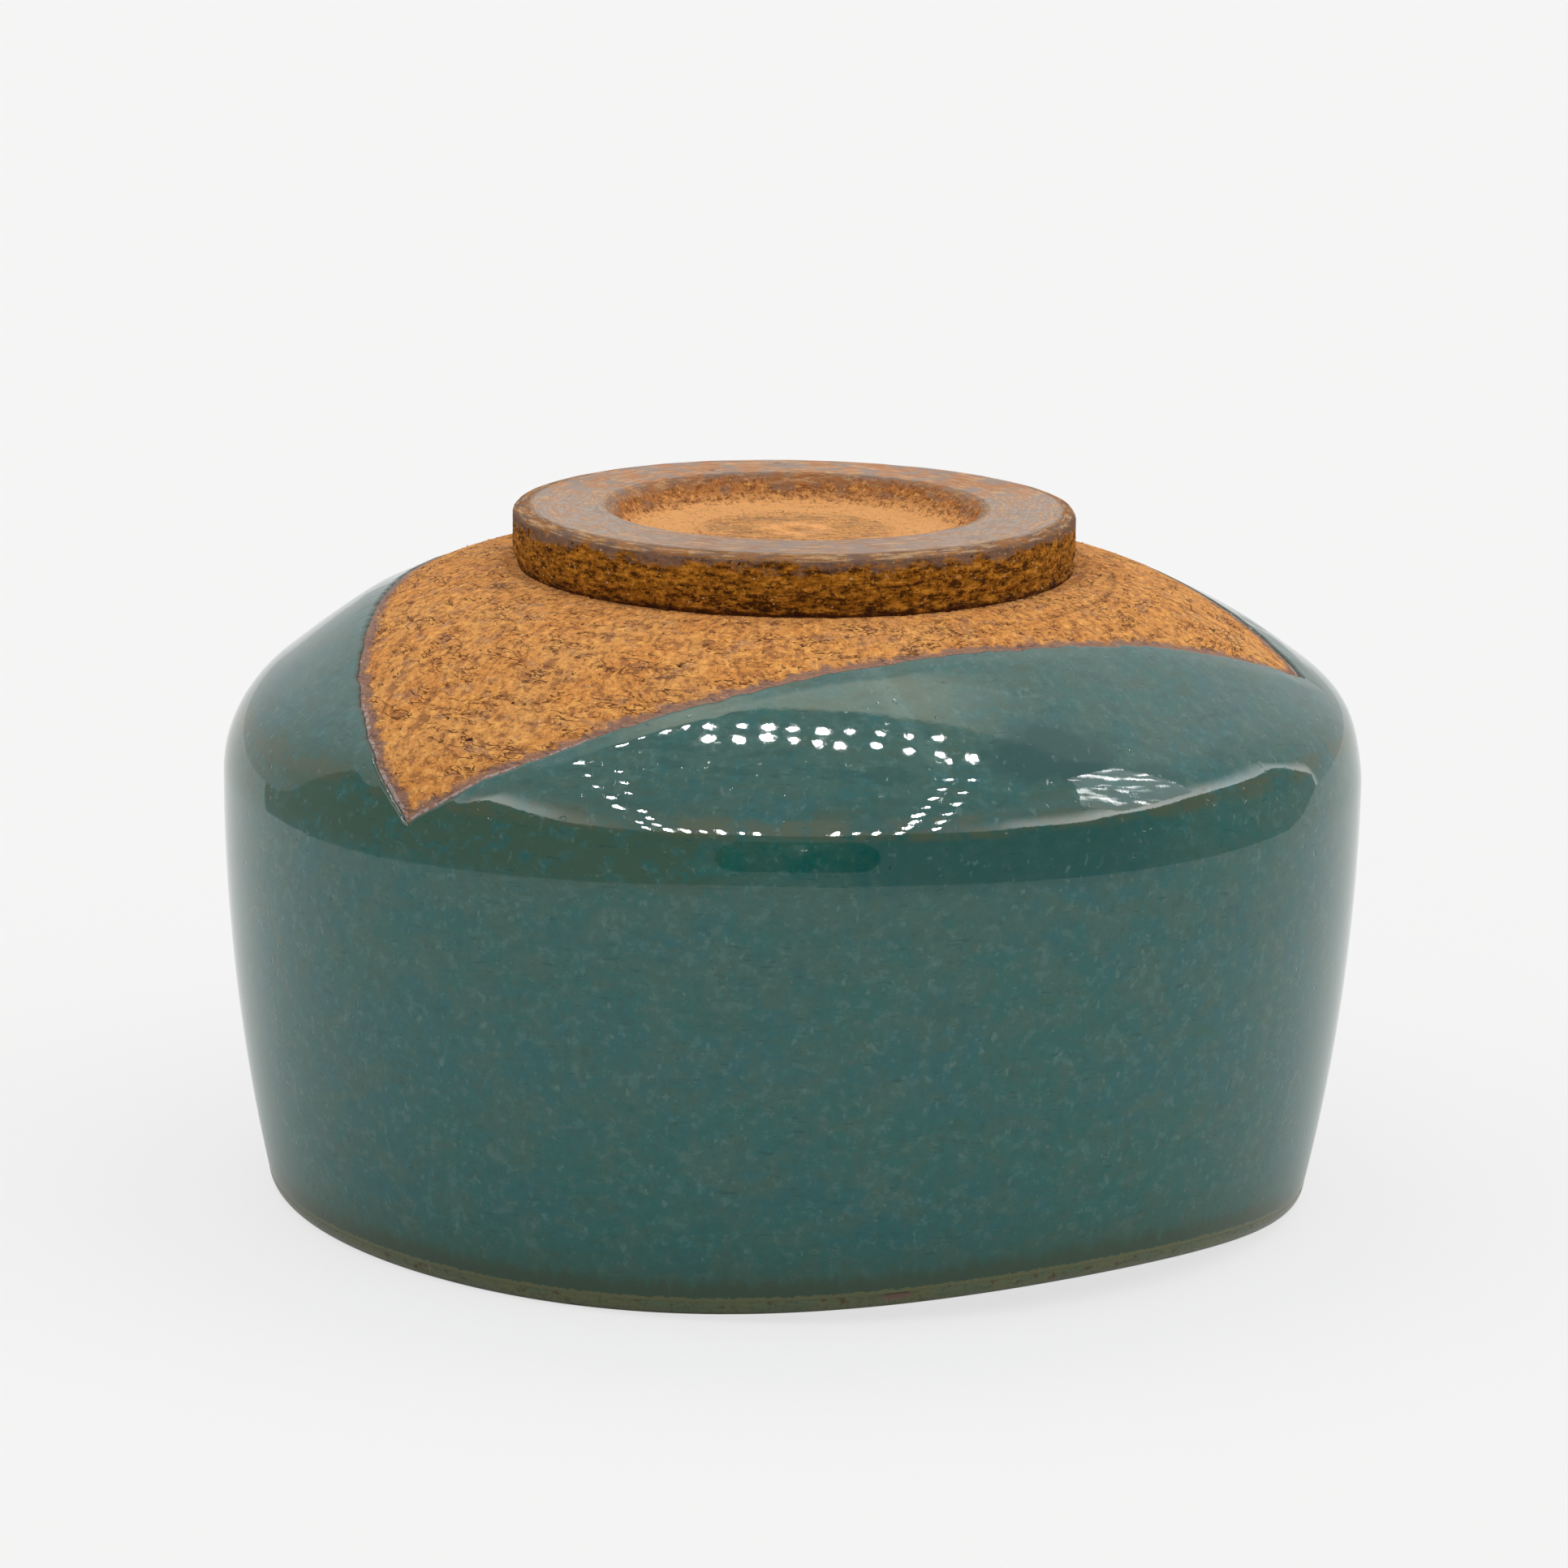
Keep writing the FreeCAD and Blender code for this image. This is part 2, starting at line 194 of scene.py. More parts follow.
def attribute(tree, name, output="Fac"):
    """A number or vector that the piece's mesh carries at every point."""
    return add(tree, "ShaderNodeAttribute", attribute_name=name).outputs[output]


PAPER_WHITE = 0.913     # how bright the floor and the backdrop show

# how high the dim part of the room reaches in each direction, in degrees from the front
ROOM_TOP = ((-130, -9), (-121, 2), (-107, 29), (-75, 38), (-50, 34.5), (0, 37), (22, 37), (49, 33),
            (68, 29.5), (90, 26.5), (119, 20), (127, 7), (131, -9))
# how bright the lit edge of the ceiling cloth is above it, in the same directions
EDGE_GLOW = ((-100, 0.0), (-88, 1.4), (-76, 4.2), (-62, 3.4), (-50, 1.2), (-38, 0.2), (-30, 0.1),
             (30, 0.1), (42, 0.9), (54, 4.0), (78, 6.2), (100, 4.2), (121, 2.4), (134, 1.2),
             (140, 0.0))
# how bright the cloth is above that, by height in degrees
CLOTH_GLOW = ((-10, 0.70), (8, 0.72), (20, 0.82), (32, 0.98), (45, 1.22), (60, 1.25), (90, 1.15))
# how bright the dim room is, by height in degrees
ROOM_GLOW = ((-20, 0.45), (12, 0.46), (24, 0.40), (40, 0.42))
PANEL_SHARE = 0.74              # how much of the cloth's brightness the lamp's own panel has
GAP_GLOW = (1.6, 1.45, 1.1)     # the warm light that spills through the gap behind it


def graph(tree, degrees, stops, scale=1.0, lift=0.0):
    """A curve through the stops, read at an angle that is 0 to 1 over -180 to 180 degrees."""
    ramp = add(tree, "ShaderNodeValToRGB")
    feed(tree, ramp.inputs[0], degrees)
    ramp.color_ramp.interpolation = "EASE"
    points = ramp.color_ramp.elements
    for number, (at, value) in enumerate(stops):
        point = points[number] if number < 2 else points.new(1.0)
        point.position = (at + 180) / 360
        point.color = (value * scale + lift,) * 3 + (1.0,)
    return ramp.outputs[0]


world = bpy.data.worlds.new("studio")
world.use_nodes = True
scene.world = world
tree = world.node_tree
across, depth, rise = parts(tree, add(tree, "ShaderNodeTexCoord").outputs["Generated"])
heading = calc(tree, "ARCTAN2", across, times(tree, depth, -1.0))
heading = plus(tree, 0.5, calc(tree, "DIVIDE", heading, math.tau))
height = plus(tree, 0.5, calc(tree, "DIVIDE", calc(tree, "ARCSINE", rise), math.tau))
over = calc(tree, "SUBTRACT", height, graph(tree, heading, ROOM_TOP, 1 / 360, 0.5))
on_cloth = band(tree, over, -0.001, 0.001)
tent = blend(tree, on_cloth, graph(tree, height, ROOM_GLOW), graph(tree, height, CLOTH_GLOW))
lit_edge = times(tree, on_cloth, band(tree, over, 0.026, 0.001))
glowing = vector_calc(tree, "MULTIPLY", graph(tree, heading, EDGE_GLOW), lit_edge)
tent = vector_calc(tree, "ADD", tent, glowing)
# the panel's and the gap's edges are given as parts of the ray's direction
panel = times(tree, band(tree, rise, 0.72, 0.80), band(tree, depth, 0.250, 0.235))
dimmed = calc(tree, "SUBTRACT", 1.0, times(tree, panel, 1.0 - PANEL_SHARE))
tent = vector_calc(tree, "MULTIPLY", tent, dimmed)
gap = times(tree, band(tree, calc(tree, "ABSOLUTE", across), 0.40, 0.18),
            band(tree, depth, 0.235, 0.250), band(tree, depth, 0.50, 0.36))
tent = vector_calc(tree, "ADD", tent, vector_calc(tree, "MULTIPLY", GAP_GLOW, gap))
rays = add(tree, "ShaderNodeLightPath")
seen = blend(tree, rays.outputs["Is Camera Ray"], tent, (PAPER_WHITE,) * 3)
background = tree.nodes["Background"]
feed(tree, background.inputs["Color"], seen)
background.inputs["Strength"].default_value = 1.0


def staged(name, corners, faces, material):
    """A staged surface of flat faces."""
    mesh = bpy.data.meshes.new(name)
    mesh.from_pydata(corners, [], faces)
    made = bpy.data.objects.new(name, mesh)
    scene.collection.objects.link(made)
    mesh.materials.append(material)
    return made


def plate(name, corners, material):
    """A staged flat plate through those corners."""
    return staged(name, corners, [tuple(range(len(corners)))], material)


def reflected_only(thing):
    """Keeps a staged light or card out of every view but a gloss surface's."""
    thing.visible_camera = False
    thing.visible_diffuse = False
    thing.visible_shadow = False
    thing.visible_transmission = False


def shine(tree, strength, value=1.0):
    """An even white or grey light."""
    return add(tree, "ShaderNodeEmission", Strength=strength, Color=(value,) * 3 + (1.0,))


def new_material(name):
    """A material with an empty tree."""
    material = bpy.data.materials.new(name)
    material.use_nodes = True
    material.node_tree.nodes.clear()
    return material, material.node_tree


def glow(name, strength):
    """A plain emitting material, and its light."""
    material, tree = new_material(name)
    material.cycles.emission_sampling = "NONE"
    light = shine(tree, strength)
    out = add(tree, "ShaderNodeOutputMaterial")
    feed(tree, out.inputs["Surface"], light.outputs[0])
    return material, light


def mix(tree, share, first, second):
    """A shader between two others."""
    node = add(tree, "ShaderNodeMixShader")
    for socket, value in zip(node.inputs, (share, first, second)):
        feed(tree, socket, value)
    return node.outputs[0]


FLOOR_REACH = 6.0
FLOOR_ALBEDO = 0.86
SHADOW_SHARE = 0.22     # how much of the floor's own shading the camera sees
SHEET_LEFT, SHEET_RIGHT, SHEET_FRONT = -0.235, 0.37, -0.9
SHEET_NECK, SHEET_SPREAD = 0.13, 1.2    # where behind the bowl it starts to widen, how fast
ROOM_GREY = 0.45

# the paper ends a little way off on three sides, and past it the glaze reflects the dim room
paper, tree = new_material("paper")
matt = add(tree, "ShaderNodeBsdfDiffuse", Color=(FLOOR_ALBEDO,) * 3 + (1.0,))
rays = add(tree, "ShaderNodeLightPath")
across, depth, _ = parts(tree, add(tree, "ShaderNodeTexCoord").outputs["Object"])
widening = times(tree, most(tree, calc(tree, "SUBTRACT", depth, SHEET_NECK), 0.0),
                 SHEET_SPREAD)
beyond = most(tree,
              band(tree, calc(tree, "SUBTRACT", across, widening), SHEET_RIGHT, SHEET_RIGHT + 0.01),
              band(tree, plus(tree, across, widening), SHEET_LEFT, SHEET_LEFT - 0.01),
              band(tree, depth, SHEET_FRONT, SHEET_FRONT - 0.02))
share = times(tree, rays.outputs["Is Camera Ray"], 1.0 - SHADOW_SHARE)
sheet = mix(tree, share, matt.outputs[0], shine(tree, 1.0, PAPER_WHITE).outputs[0])
out = add(tree, "ShaderNodeOutputMaterial")
feed(tree, out.inputs["Surface"],
     mix(tree, times(tree, beyond, rays.outputs["Is Glossy Ray"]), sheet,
         shine(tree, 1.0, ROOM_GREY).outputs[0]))
plate("floor", [(-FLOOR_REACH, -FLOOR_REACH, 0), (FLOOR_REACH, -FLOOR_REACH, 0),
                (FLOOR_REACH, FLOOR_REACH, 0), (-FLOOR_REACH, FLOOR_REACH, 0)], paper)

# the lamp: rows of small bright points round the edge of a hanging panel, as start, end and pitch
LAMP_HEIGHT = 0.40
LAMP_ROWS = (((-0.116, 0.019), (0.000, 0.005), 0.0178), ((0.020, 0.005), (0.104, 0.016), 0.0178),
             ((-0.062, -0.008), (0.020, -0.014), 0.0178), ((0.036, -0.014), (0.108, -0.008), 0.018),
             ((-0.172, 0.000), (-0.262, -0.440), 0.055), ((-0.132, 0.012), (-0.228, -0.400), 0.052),
             ((0.134, 0.002), (0.245, -0.420), 0.060), ((0.116, -0.012), (0.190, -0.410), 0.052),
             ((-0.225, -0.462), (-0.030, -0.500), 0.030), ((0.000, -0.500), (0.190, -0.470), 0.030))
LAMP_POINT, LAMP_WANDER, LAMP_GLOW = 0.0036, 0.0016, 220.0
DEAD_SHARE = 0.08       # of the lamp's points

chance = np.random.default_rng(12)
corners, faces = [], []
for start, end, pitch in LAMP_ROWS:
    start, end = np.array(start), np.array(end)
    count = max(round(np.hypot(*(end - start)) / pitch), 2)
    for i in range(count):
        x, y = start + (end - start) * i / (count - 1) + chance.normal(0, LAMP_WANDER, 2)
        # the points along the front are larger and deeper
        size = LAMP_POINT * chance.uniform(0.6, 1.25) * (1.0 - 0.9 * y)
        depth = size * (1.0 - 7.0 * min(y, 0))
        if chance.uniform() < DEAD_SHARE:
            continue
        faces.append(tuple(range(len(corners), len(corners) + 6)))
        corners += [(x + size * math.cos(a), y - depth * math.sin(a), LAMP_HEIGHT)
                    for a in (math.tau * k / 6 for k in range(6))]
reflected_only(staged("lamp_points", corners, faces, glow("lamp_point", LAMP_GLOW)[0]))

# a dark rounded card that stands in front, a little above the table
CARD_CENTRE, CARD_HALF, CARD_ROUND = (0.004, -0.20, 0.104), (0.050, 0.036), (0.016, 0.032)
outline = []
for corner, (sx, sz) in enumerate(((1, 1), (-1, 1), (-1, -1), (1, -1))):
    for k in range(9):
        a = math.pi / 2 * (corner + k / 8)
        outline.append((CARD_CENTRE[0] + sx * (CARD_HALF[0] - CARD_ROUND[0])
                        + CARD_ROUND[0] * math.cos(a), CARD_CENTRE[1],
                        CARD_CENTRE[2] + sz * (CARD_HALF[1] - CARD_ROUND[1])
                        + CARD_ROUND[1] * math.sin(a)))
reflected_only(plate("dark_card", outline, glow("dark_card", 0.0)[0]))

# a creased bright cloth to the right, as dim and bright strength and corners
CREASE_DIM, CREASE_BRIGHT = 2.4, 24.0
CLOTH_CORNERS = ((0.43, -0.19, 0.41), (0.43, -0.15, 0.29), (0.44, 0.0, 0.27), (0.43, 0.09, 0.60),
                 (0.43, -0.02, 0.66))
creased, creased_light = glow("creased_cloth", 1.0)
tree = creased.node_tree
folds = cloud(tree, add(tree, "ShaderNodeTexCoord").outputs["Object"], (0.3, 0.045, 0.16),
              detail=2.0, warp=0.8, shift=1.3)
feed(tree, creased_light.inputs["Strength"],
     plus(tree, CREASE_DIM, times(tree, band(tree, folds, 0.52, 0.68), CREASE_BRIGHT)))
reflected_only(plate("creased_cloth", CLOTH_CORNERS, creased))


# ---- Clay body ---------------------------------------------------------------
# The thrown wall and floor, one turned lump of coarse iron-bearing stoneware. It is bare only in
# the three-cornered patch round the foot that the dips left, where the turning tool's fine rings
# and the drag marks of its grit show.

BELLY_RADIUS, BELLY_HEIGHT = 60.0, 44.5
WALL_CURVE, SHOULDER_CURVE, HIP_CURVE, CROWN_CURVE = 200.0, 14.5, 70.0, 32.0
SHOULDER_SWEEP = math.radians(51)
SEAT_RADIUS, SEAT_HEIGHT = 29.5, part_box("foot_ring")[0].z / MM
FOOT_RADIUS = 29.6
HOLLOW_RADIUS, HOLLOW_HEIGHT = 55.4, 40.5
HOLLOW_WALL_CURVE, HOLLOW_TURN = 205.0, 14.0
HOLLOW_SWEEP = math.radians(66)
GLAZE = 0.5             # how thick every coat of glaze is
LIP_ROUND = 1.7
# the lip's three low places: where they start, how high it is between them, and how uneven
LIP_START, LIP_RISE, LIP_UNEVEN, LIP_HIGHEST = math.radians(2.0), 1.95, 0.9, math.radians(10.0)

# Every section below is a table of r, z and the outward normal's r and z, in millimetres.


def ring_point(centre, radius, angle, facing=1):
    """A point of a circle about a centre, with its normal facing out of it or in."""
    cos, sin = np.cos(angle), np.sin(angle)
    return np.stack([centre[0] + radius * cos, centre[1] + radius * sin,
                     facing * cos, facing * sin], axis=-1)


def arc(centre, radius, start, end, count):
    """Points along an arc, with their normals."""
    return ring_point(centre, radius, np.linspace(start, end, count))


def run_along(section):
    """How far along a section each of its rows lies."""
    steps = np.diff(section[..., :2], axis=0, prepend=section[:1, ..., :2])
    return np.cumsum(np.hypot(steps[..., 0], steps[..., 1]), axis=0)


def outside_profile():
    """The finished outside from the lip's level up to the foot's seat, in fine steps."""
    wall_centre = (BELLY_RADIUS - WALL_CURVE, BELLY_HEIGHT)
    shoulder_centre = (BELLY_RADIUS - SHOULDER_CURVE, BELLY_HEIGHT)
    reach = SHOULDER_CURVE - HIP_CURVE
    hip_centre = (shoulder_centre[0] + reach * math.cos(SHOULDER_SWEEP),
                  shoulder_centre[1] + reach * math.sin(SHOULDER_SWEEP))
    # the crown's arc is tangent to the hip's and ends at the seat
    seat = (SEAT_RADIUS, SEAT_HEIGHT + GLAZE)
    gap = math.hypot(seat[0] - hip_centre[0], seat[1] - hip_centre[1])
    link = HIP_CURVE - CROWN_CURVE
    lean = math.acos((link ** 2 + gap ** 2 - CROWN_CURVE ** 2) / (2 * link * gap))
    hip_end = math.atan2(seat[1] - hip_centre[1], seat[0] - hip_centre[0]) - lean
    crown_centre = (hip_centre[0] + link * math.cos(hip_end),
                    hip_centre[1] + link * math.sin(hip_end))
    crown_end = math.atan2(seat[1] - crown_centre[1], seat[0] - crown_centre[0])
    foot = -math.asin(BELLY_HEIGHT / WALL_CURVE)
    return np.concatenate([
        arc(wall_centre, WALL_CURVE, foot, 0, 900)[:-1],
        arc(shoulder_centre, SHOULDER_CURVE, 0, SHOULDER_SWEEP, 260)[:-1],
        arc(hip_centre, HIP_CURVE, SHOULDER_SWEEP, hip_end, 300)[:-1],
        arc(crown_centre, CROWN_CURVE, hip_end, crown_end, 260)])


OUTSIDE = outside_profile()
OUTSIDE_ALONG = run_along(OUTSIDE)
TOP_ALONG = OUTSIDE_ALONG[-1]


def on_outside(along):
    """The outside at those distances along it, in millimetres up from the lip's level."""
    return np.stack([np.interp(along, OUTSIDE_ALONG, OUTSIDE[:, k]) for k in range(4)], axis=-1)


def lip_height(turn):
    """Height of the lip in that direction: nought at three points, and higher between them."""
    waves = (1 - np.cos(3 * (turn + LIP_START))) / 2
    return LIP_RISE * waves * (1 + LIP_UNEVEN * np.cos(turn - LIP_HIGHEST))


def lip_band(turn):
    """Where the outside's coats meet the lip's, as a distance along the outside."""
    return np.interp(lip_height(turn) + LIP_ROUND, OUTSIDE[:, 1], OUTSIDE_ALONG)


def lip_section(turn, steps):
    """The finished lip from that line, under its rounded edge, to the same height inside."""
    height = lip_height(turn) + LIP_ROUND
    outer_curve, inner_curve = WALL_CURVE - LIP_ROUND, HOLLOW_WALL_CURVE + LIP_ROUND
    outer_lean = np.arcsin((height - BELLY_HEIGHT) / outer_curve)
    inner_lean = np.arcsin((height - HOLLOW_HEIGHT) / inner_curve)
    outer = BELLY_RADIUS - WALL_CURVE + outer_curve * np.cos(outer_lean)
    inner = HOLLOW_RADIUS - HOLLOW_WALL_CURVE + inner_curve * np.cos(inner_lean)
    under = np.full_like(turn, -math.pi / 2)
    rows = [on_outside(lip_band(turn))]
    for share in np.linspace(0, 1, steps):
        angle = outer_lean + (under - outer_lean) * share
        rows.append(ring_point((outer, height), LIP_ROUND, angle))
    for share in np.linspace(0, 1, steps):
        rows.append(ring_point((inner, height), LIP_ROUND, under * (1 + share)))
    return np.array(rows)


def hollow_section(turn, wall_rows, turn_rows, floor_rows):
    """The finished inside from the lip's coat up to the middle of the floor."""
    wall_centre = (HOLLOW_RADIUS - HOLLOW_WALL_CURVE, HOLLOW_HEIGHT)
    low = lip_height(turn) + LIP_ROUND + 0.35
    start = np.arcsin((low - HOLLOW_HEIGHT) / HOLLOW_WALL_CURVE)
    rows = [ring_point(wall_centre, HOLLOW_WALL_CURVE, start * (1 - share), facing=-1)
            for share in np.linspace(0, 1, wall_rows)[:-1]]
    turn_centre = (HOLLOW_RADIUS - HOLLOW_TURN, HOLLOW_HEIGHT)
    edge = turn_centre[0] + HOLLOW_TURN * math.cos(HOLLOW_SWEEP)
    floor_curve = edge / math.cos(HOLLOW_SWEEP)
    floor_centre = (0.0, turn_centre[1] + (HOLLOW_TURN - floor_curve) * math.sin(HOLLOW_SWEEP))
    rest = np.concatenate([
        arc(turn_centre, HOLLOW_TURN, 0, HOLLOW_SWEEP, turn_rows)[:-1],
        arc(floor_centre, floor_curve, HOLLOW_SWEEP, math.pi / 2, floor_rows)])
    rest[-1, 0] = 0.0
    rest[:, 2:] *= -1
    return np.array(rows + [np.tile(row, (len(turn), 1)) for row in rest])


# for each dip: the side it went in by, how far the bowl was tilted, and how high the glaze rose
DIP_PLANES = ((162.3, 39.6, 29.7), (298.4, 41.8, 28.7), (50.0, 40.0, 32.0))
DIPS = []   # for each dip: the upward normal of the glaze's surface, and its distance
for side, tilt, level in DIP_PLANES:
    side, tilt = math.radians(side), math.radians(tilt)
    DIPS.append((np.array([-math.cos(side) * math.sin(tilt), -math.sin(side) * math.sin(tilt),
                           math.cos(tilt)]), level * math.cos(tilt)))


def round_noise(turn, rate, seed):
    """Smooth noise round the bowl, about that many waves in a radian."""
    return np.array([noise.noise(Vector((rate * math.cos(a), rate * math.sin(a), seed)))
                     for a in turn])


EDGE_WAVES = ((0.45, 4.5, 0), (0.26, 21, 5), (0.16, 64, 9))     # height, rate and seed


def wander(turn, seed):
    """How far a dip's edge strays from its plane in that direction, where it ran a little."""
    return sum(size * round_noise(turn, rate, seed + own) for size, rate, own in EDGE_WAVES)


def dip_edges(turn):
    """How far along the outside each dip's edge lies in those directions."""
    edges = []
    for number, (normal, level) in enumerate(DIPS):
        outward = normal[0] * np.cos(turn) + normal[1] * np.sin(turn)
        depth = (outward[:, None] * OUTSIDE[:, 0] + normal[2] * OUTSIDE[:, 1] - level
                 - wander(turn, 10.0 * number)[:, None])
        above = np.maximum(np.argmax(depth >= 0, axis=1), 1)
        column = np.arange(len(turn))
        before, after = depth[column, above - 1], depth[column, above]
        share = np.clip(-before / (after - before), 0, 1)
        edges.append(OUTSIDE_ALONG[above - 1]
                     + share * (OUTSIDE_ALONG[above] - OUTSIDE_ALONG[above - 1]))
    return np.array(edges)


def glaze_reach(points, normals, turn):
    """Distance in from the free edge of the glaze: above 0 under it, below 0 on bare clay."""
    reach = []
    for number, (normal, level) in enumerate(DIPS):
        depth = level + wander(turn, 10.0 * number) - points @ normal
        reach.append(depth / np.sqrt(np.maximum(1 - (normals @ normal) ** 2, 0.05)))
    return np.max(reach, axis=0)


def spin(section, turn):
    """Points and normals of a section in every direction; rows, directions, 3."""
    cos, sin = np.cos(turn), np.sin(turn)
    points = np.stack([section[..., 0] * cos, section[..., 0] * sin, section[..., 1]], axis=-1)
    normals = np.stack([section[..., 2] * cos, section[..., 2] * sin, section[..., 3]], axis=-1)
    return points, normals


def turned_place(turn, along):
    """Where points lie on a turned surface: their direction, and how far along the section."""
    rows, columns = along.shape
    return np.stack([np.broadcast_to(np.cos(turn), (rows, columns)),
                     np.broadcast_to(np.sin(turn), (rows, columns)), along], axis=-1)


def skin(name, points, attributes, full_turn=True, loop=False, crease=40.0):
    """A closed mesh over a grid of points in millimetres, rows by directions.

    full_turn joins the last direction to the first, and loop joins the last row to the first.
    Attributes are numbers or vectors for every point. Points that coincide are merged."""
    rows, columns = points.shape[:2]
    index = np.arange(rows * columns).reshape(rows, columns)
    if full_turn:
        index = np.concatenate([index, index[:, :1]], axis=1)
    if loop:
        index = np.concatenate([index, index[:1]], axis=0)
    quads = np.stack([index[:-1, :-1], index[:-1, 1:], index[1:, 1:], index[1:, :-1]], axis=-1)
    mesh = bpy.data.meshes.new(name)
    mesh.from_pydata((points.reshape(-1, 3) * MM).tolist(), [], quads.reshape(-1, 4).tolist())
    for key, values in attributes.items():
        vector = values.ndim == 3
        layer = mesh.attributes.new(key, "FLOAT_VECTOR" if vector else "FLOAT", "POINT")
        layer.data.foreach_set("vector" if vector else "value",
                               np.ascontiguousarray(values, dtype=np.float32).ravel())
    shape = bmesh.new()
    shape.from_mesh(mesh)
    bmesh.ops.remove_doubles(shape, verts=shape.verts, dist=2e-7)
    bmesh.ops.dissolve_degenerate(shape, edges=shape.edges, dist=1e-7)
    if shape.calc_volume(signed=True) < 0:
        bmesh.ops.reverse_faces(shape, faces=shape.faces)
    for face in shape.faces:
        face.smooth = True
    shape.to_mesh(mesh)
    shape.free()
    mesh.set_sharp_from_angle(angle=math.radians(crease))
    made = bpy.data.objects.new(name, mesh)
    scene.collection.objects.link(made)
    return made


def worked_clay_tree():
    """Geometry nodes that mark a turned clay surface: tool rings, drag marks, pits and grit.

    Marks are pressed in along the normal. The grit is small angular grains, half sunk."""
    tree = bpy.data.node_groups.new("worked_clay", "GeometryNodeTree")
    names = {}
    for label, kind in (("Clay", "Geometry"), ("Pit Depth", "Float"), ("Ring Depth", "Float"),
                        ("Grain Size", "Float"), ("Grain Density", "Float"), ("Seed", "Int"),
                        ("Finish", "Material")):
        socket = tree.interface.new_socket(label, in_out="INPUT",
                                           socket_type=f"NodeSocket{kind}")
        names[label] = socket.identifier
    tree.interface.new_socket("Clay", in_out="OUTPUT", socket_type="NodeSocketGeometry")
    given = tree.nodes.new("NodeGroupInput").outputs

    def read(name, kind):
        node = add(tree, "GeometryNodeInputNamedAttribute", data_type=kind)
        node.inputs["Name"].default_value = name
        return node.outputs["Attribute"]

    place, tooth = read("turned", "FLOAT_VECTOR"), read("tooth", "FLOAT")
    drags = cloud(tree, place, (1 / 30, 1 / 30, 0.62), detail=3.0, roughness=0.6, shift=5.0)
    pits = cloud(tree, place, (1 / 62, 1 / 62, 0.62), detail=1.0, shift=9.0)
    grit = cloud(tree, place, (1 / 90, 1 / 90, 0.5), detail=2.0, shift=15.0)
    marks = plus(tree, times(tree, band(tree, drags, 0.52, 0.68), 0.7),
                 band(tree, pits, 0.69, 0.75),
                 times(tree, calc(tree, "SUBTRACT", grit, 0.42), 0.5))
    # the marks are kept for the finishes, which paint shade into the deepest
    store = add(tree, "GeometryNodeStoreNamedAttribute", data_type="FLOAT", domain="POINT")
    store.inputs["Name"].default_value = "marks"
    feed(tree, store.inputs["Geometry"], given["Clay"])
    feed(tree, store.inputs["Value"], marks)

    rings = cloud(tree, place, (1.4, 1.4, 0.9), detail=2.0, shift=21.0)
    depth = plus(tree, times(tree, marks, given["Pit Depth"]),
                 times(tree, rings, given["Ring Depth"]))
    depth = times(tree, most(tree, depth, 0.0), tooth, -MM)
    inward = vector_calc(tree, "SCALE", add(tree, "GeometryNodeInputNormal").outputs[0])
    feed(tree, inward.node.inputs["Scale"], depth)
    press = add(tree, "GeometryNodeSetPosition")
    feed(tree, press.inputs["Geometry"], store.outputs[0])
    feed(tree, press.inputs["Offset"], inward)

    scatter = add(tree, "GeometryNodeDistributePointsOnFaces", distribute_method="RANDOM")
    feed(tree, scatter.inputs["Mesh"], press.outputs[0])
    feed(tree, scatter.inputs["Density"], times(tree, given["Grain Density"], 1e6, tooth))
    feed(tree, scatter.inputs["Seed"], given["Seed"])
    grain = add(tree, "GeometryNodeMeshIcoSphere", Radius=MM, Subdivisions=1)
    copies = add(tree, "GeometryNodeInstanceOnPoints")
    feed(tree, copies.inputs["Points"], scatter.outputs["Points"])
    feed(tree, copies.inputs["Instance"], grain.outputs["Mesh"])
    spun = add(tree, "FunctionNodeRandomValue", data_type="FLOAT_VECTOR")
    spun.inputs[1].default_value = (math.tau,) * 3
    feed(tree, copies.inputs["Rotation"], spun.outputs[0])
    shaped = add(tree, "FunctionNodeRandomValue", data_type="FLOAT_VECTOR")
    shaped.inputs[0].default_value = (0.35, 0.35, 0.2)
    shaped.inputs[1].default_value = (1.0, 0.8, 0.5)
    scaled = vector_calc(tree, "SCALE", shaped.outputs[0])
    feed(tree, scaled.node.inputs["Scale"], given["Grain Size"])
    feed(tree, copies.inputs["Scale"], scaled)
    solid = add(tree, "GeometryNodeRealizeInstances")
    feed(tree, solid.inputs[0], copies.outputs[0])
    tag = add(tree, "GeometryNodeStoreNamedAttribute", data_type="FLOAT", domain="POINT")
    tag.inputs["Name"].default_value = "grain"
    tag.inputs["Value"].default_value = 1.0
    feed(tree, tag.inputs["Geometry"], solid.outputs[0])
    join = add(tree, "GeometryNodeJoinGeometry")
    feed(tree, join.inputs[0], press.outputs[0])
    feed(tree, join.inputs[0], tag.outputs[0])
    paint = add(tree, "GeometryNodeSetMaterial")
    feed(tree, paint.inputs["Geometry"], join.outputs[0])
    feed(tree, paint.inputs["Material"], given["Finish"])
    feed(tree, tree.nodes.new("NodeGroupOutput").inputs[0], paint.outputs[0])
    return tree, names


def work(piece, finish, pits, rings, grain_size, grain_density, seed):
    """Marks a clay piece with that tree, and keeps the result as its own plain mesh."""
    modifier = piece.modifiers.new("worked_clay", "NODES")
    modifier.node_group, names = worked_clay
    for label, value in (("Pit Depth", pits), ("Ring Depth", rings), ("Grain Size", grain_size),
                         ("Grain Density", grain_density), ("Seed", seed), ("Finish", finish)):
        modifier[names[label]] = value
    bpy.context.view_layer.update()
    worked = bpy.data.meshes.new_from_object(
        piece.evaluated_get(bpy.context.evaluated_depsgraph_get()))
    piece.modifiers.remove(modifier)
    worked.name = piece.name
    piece.data = worked


worked_clay = worked_clay_tree()


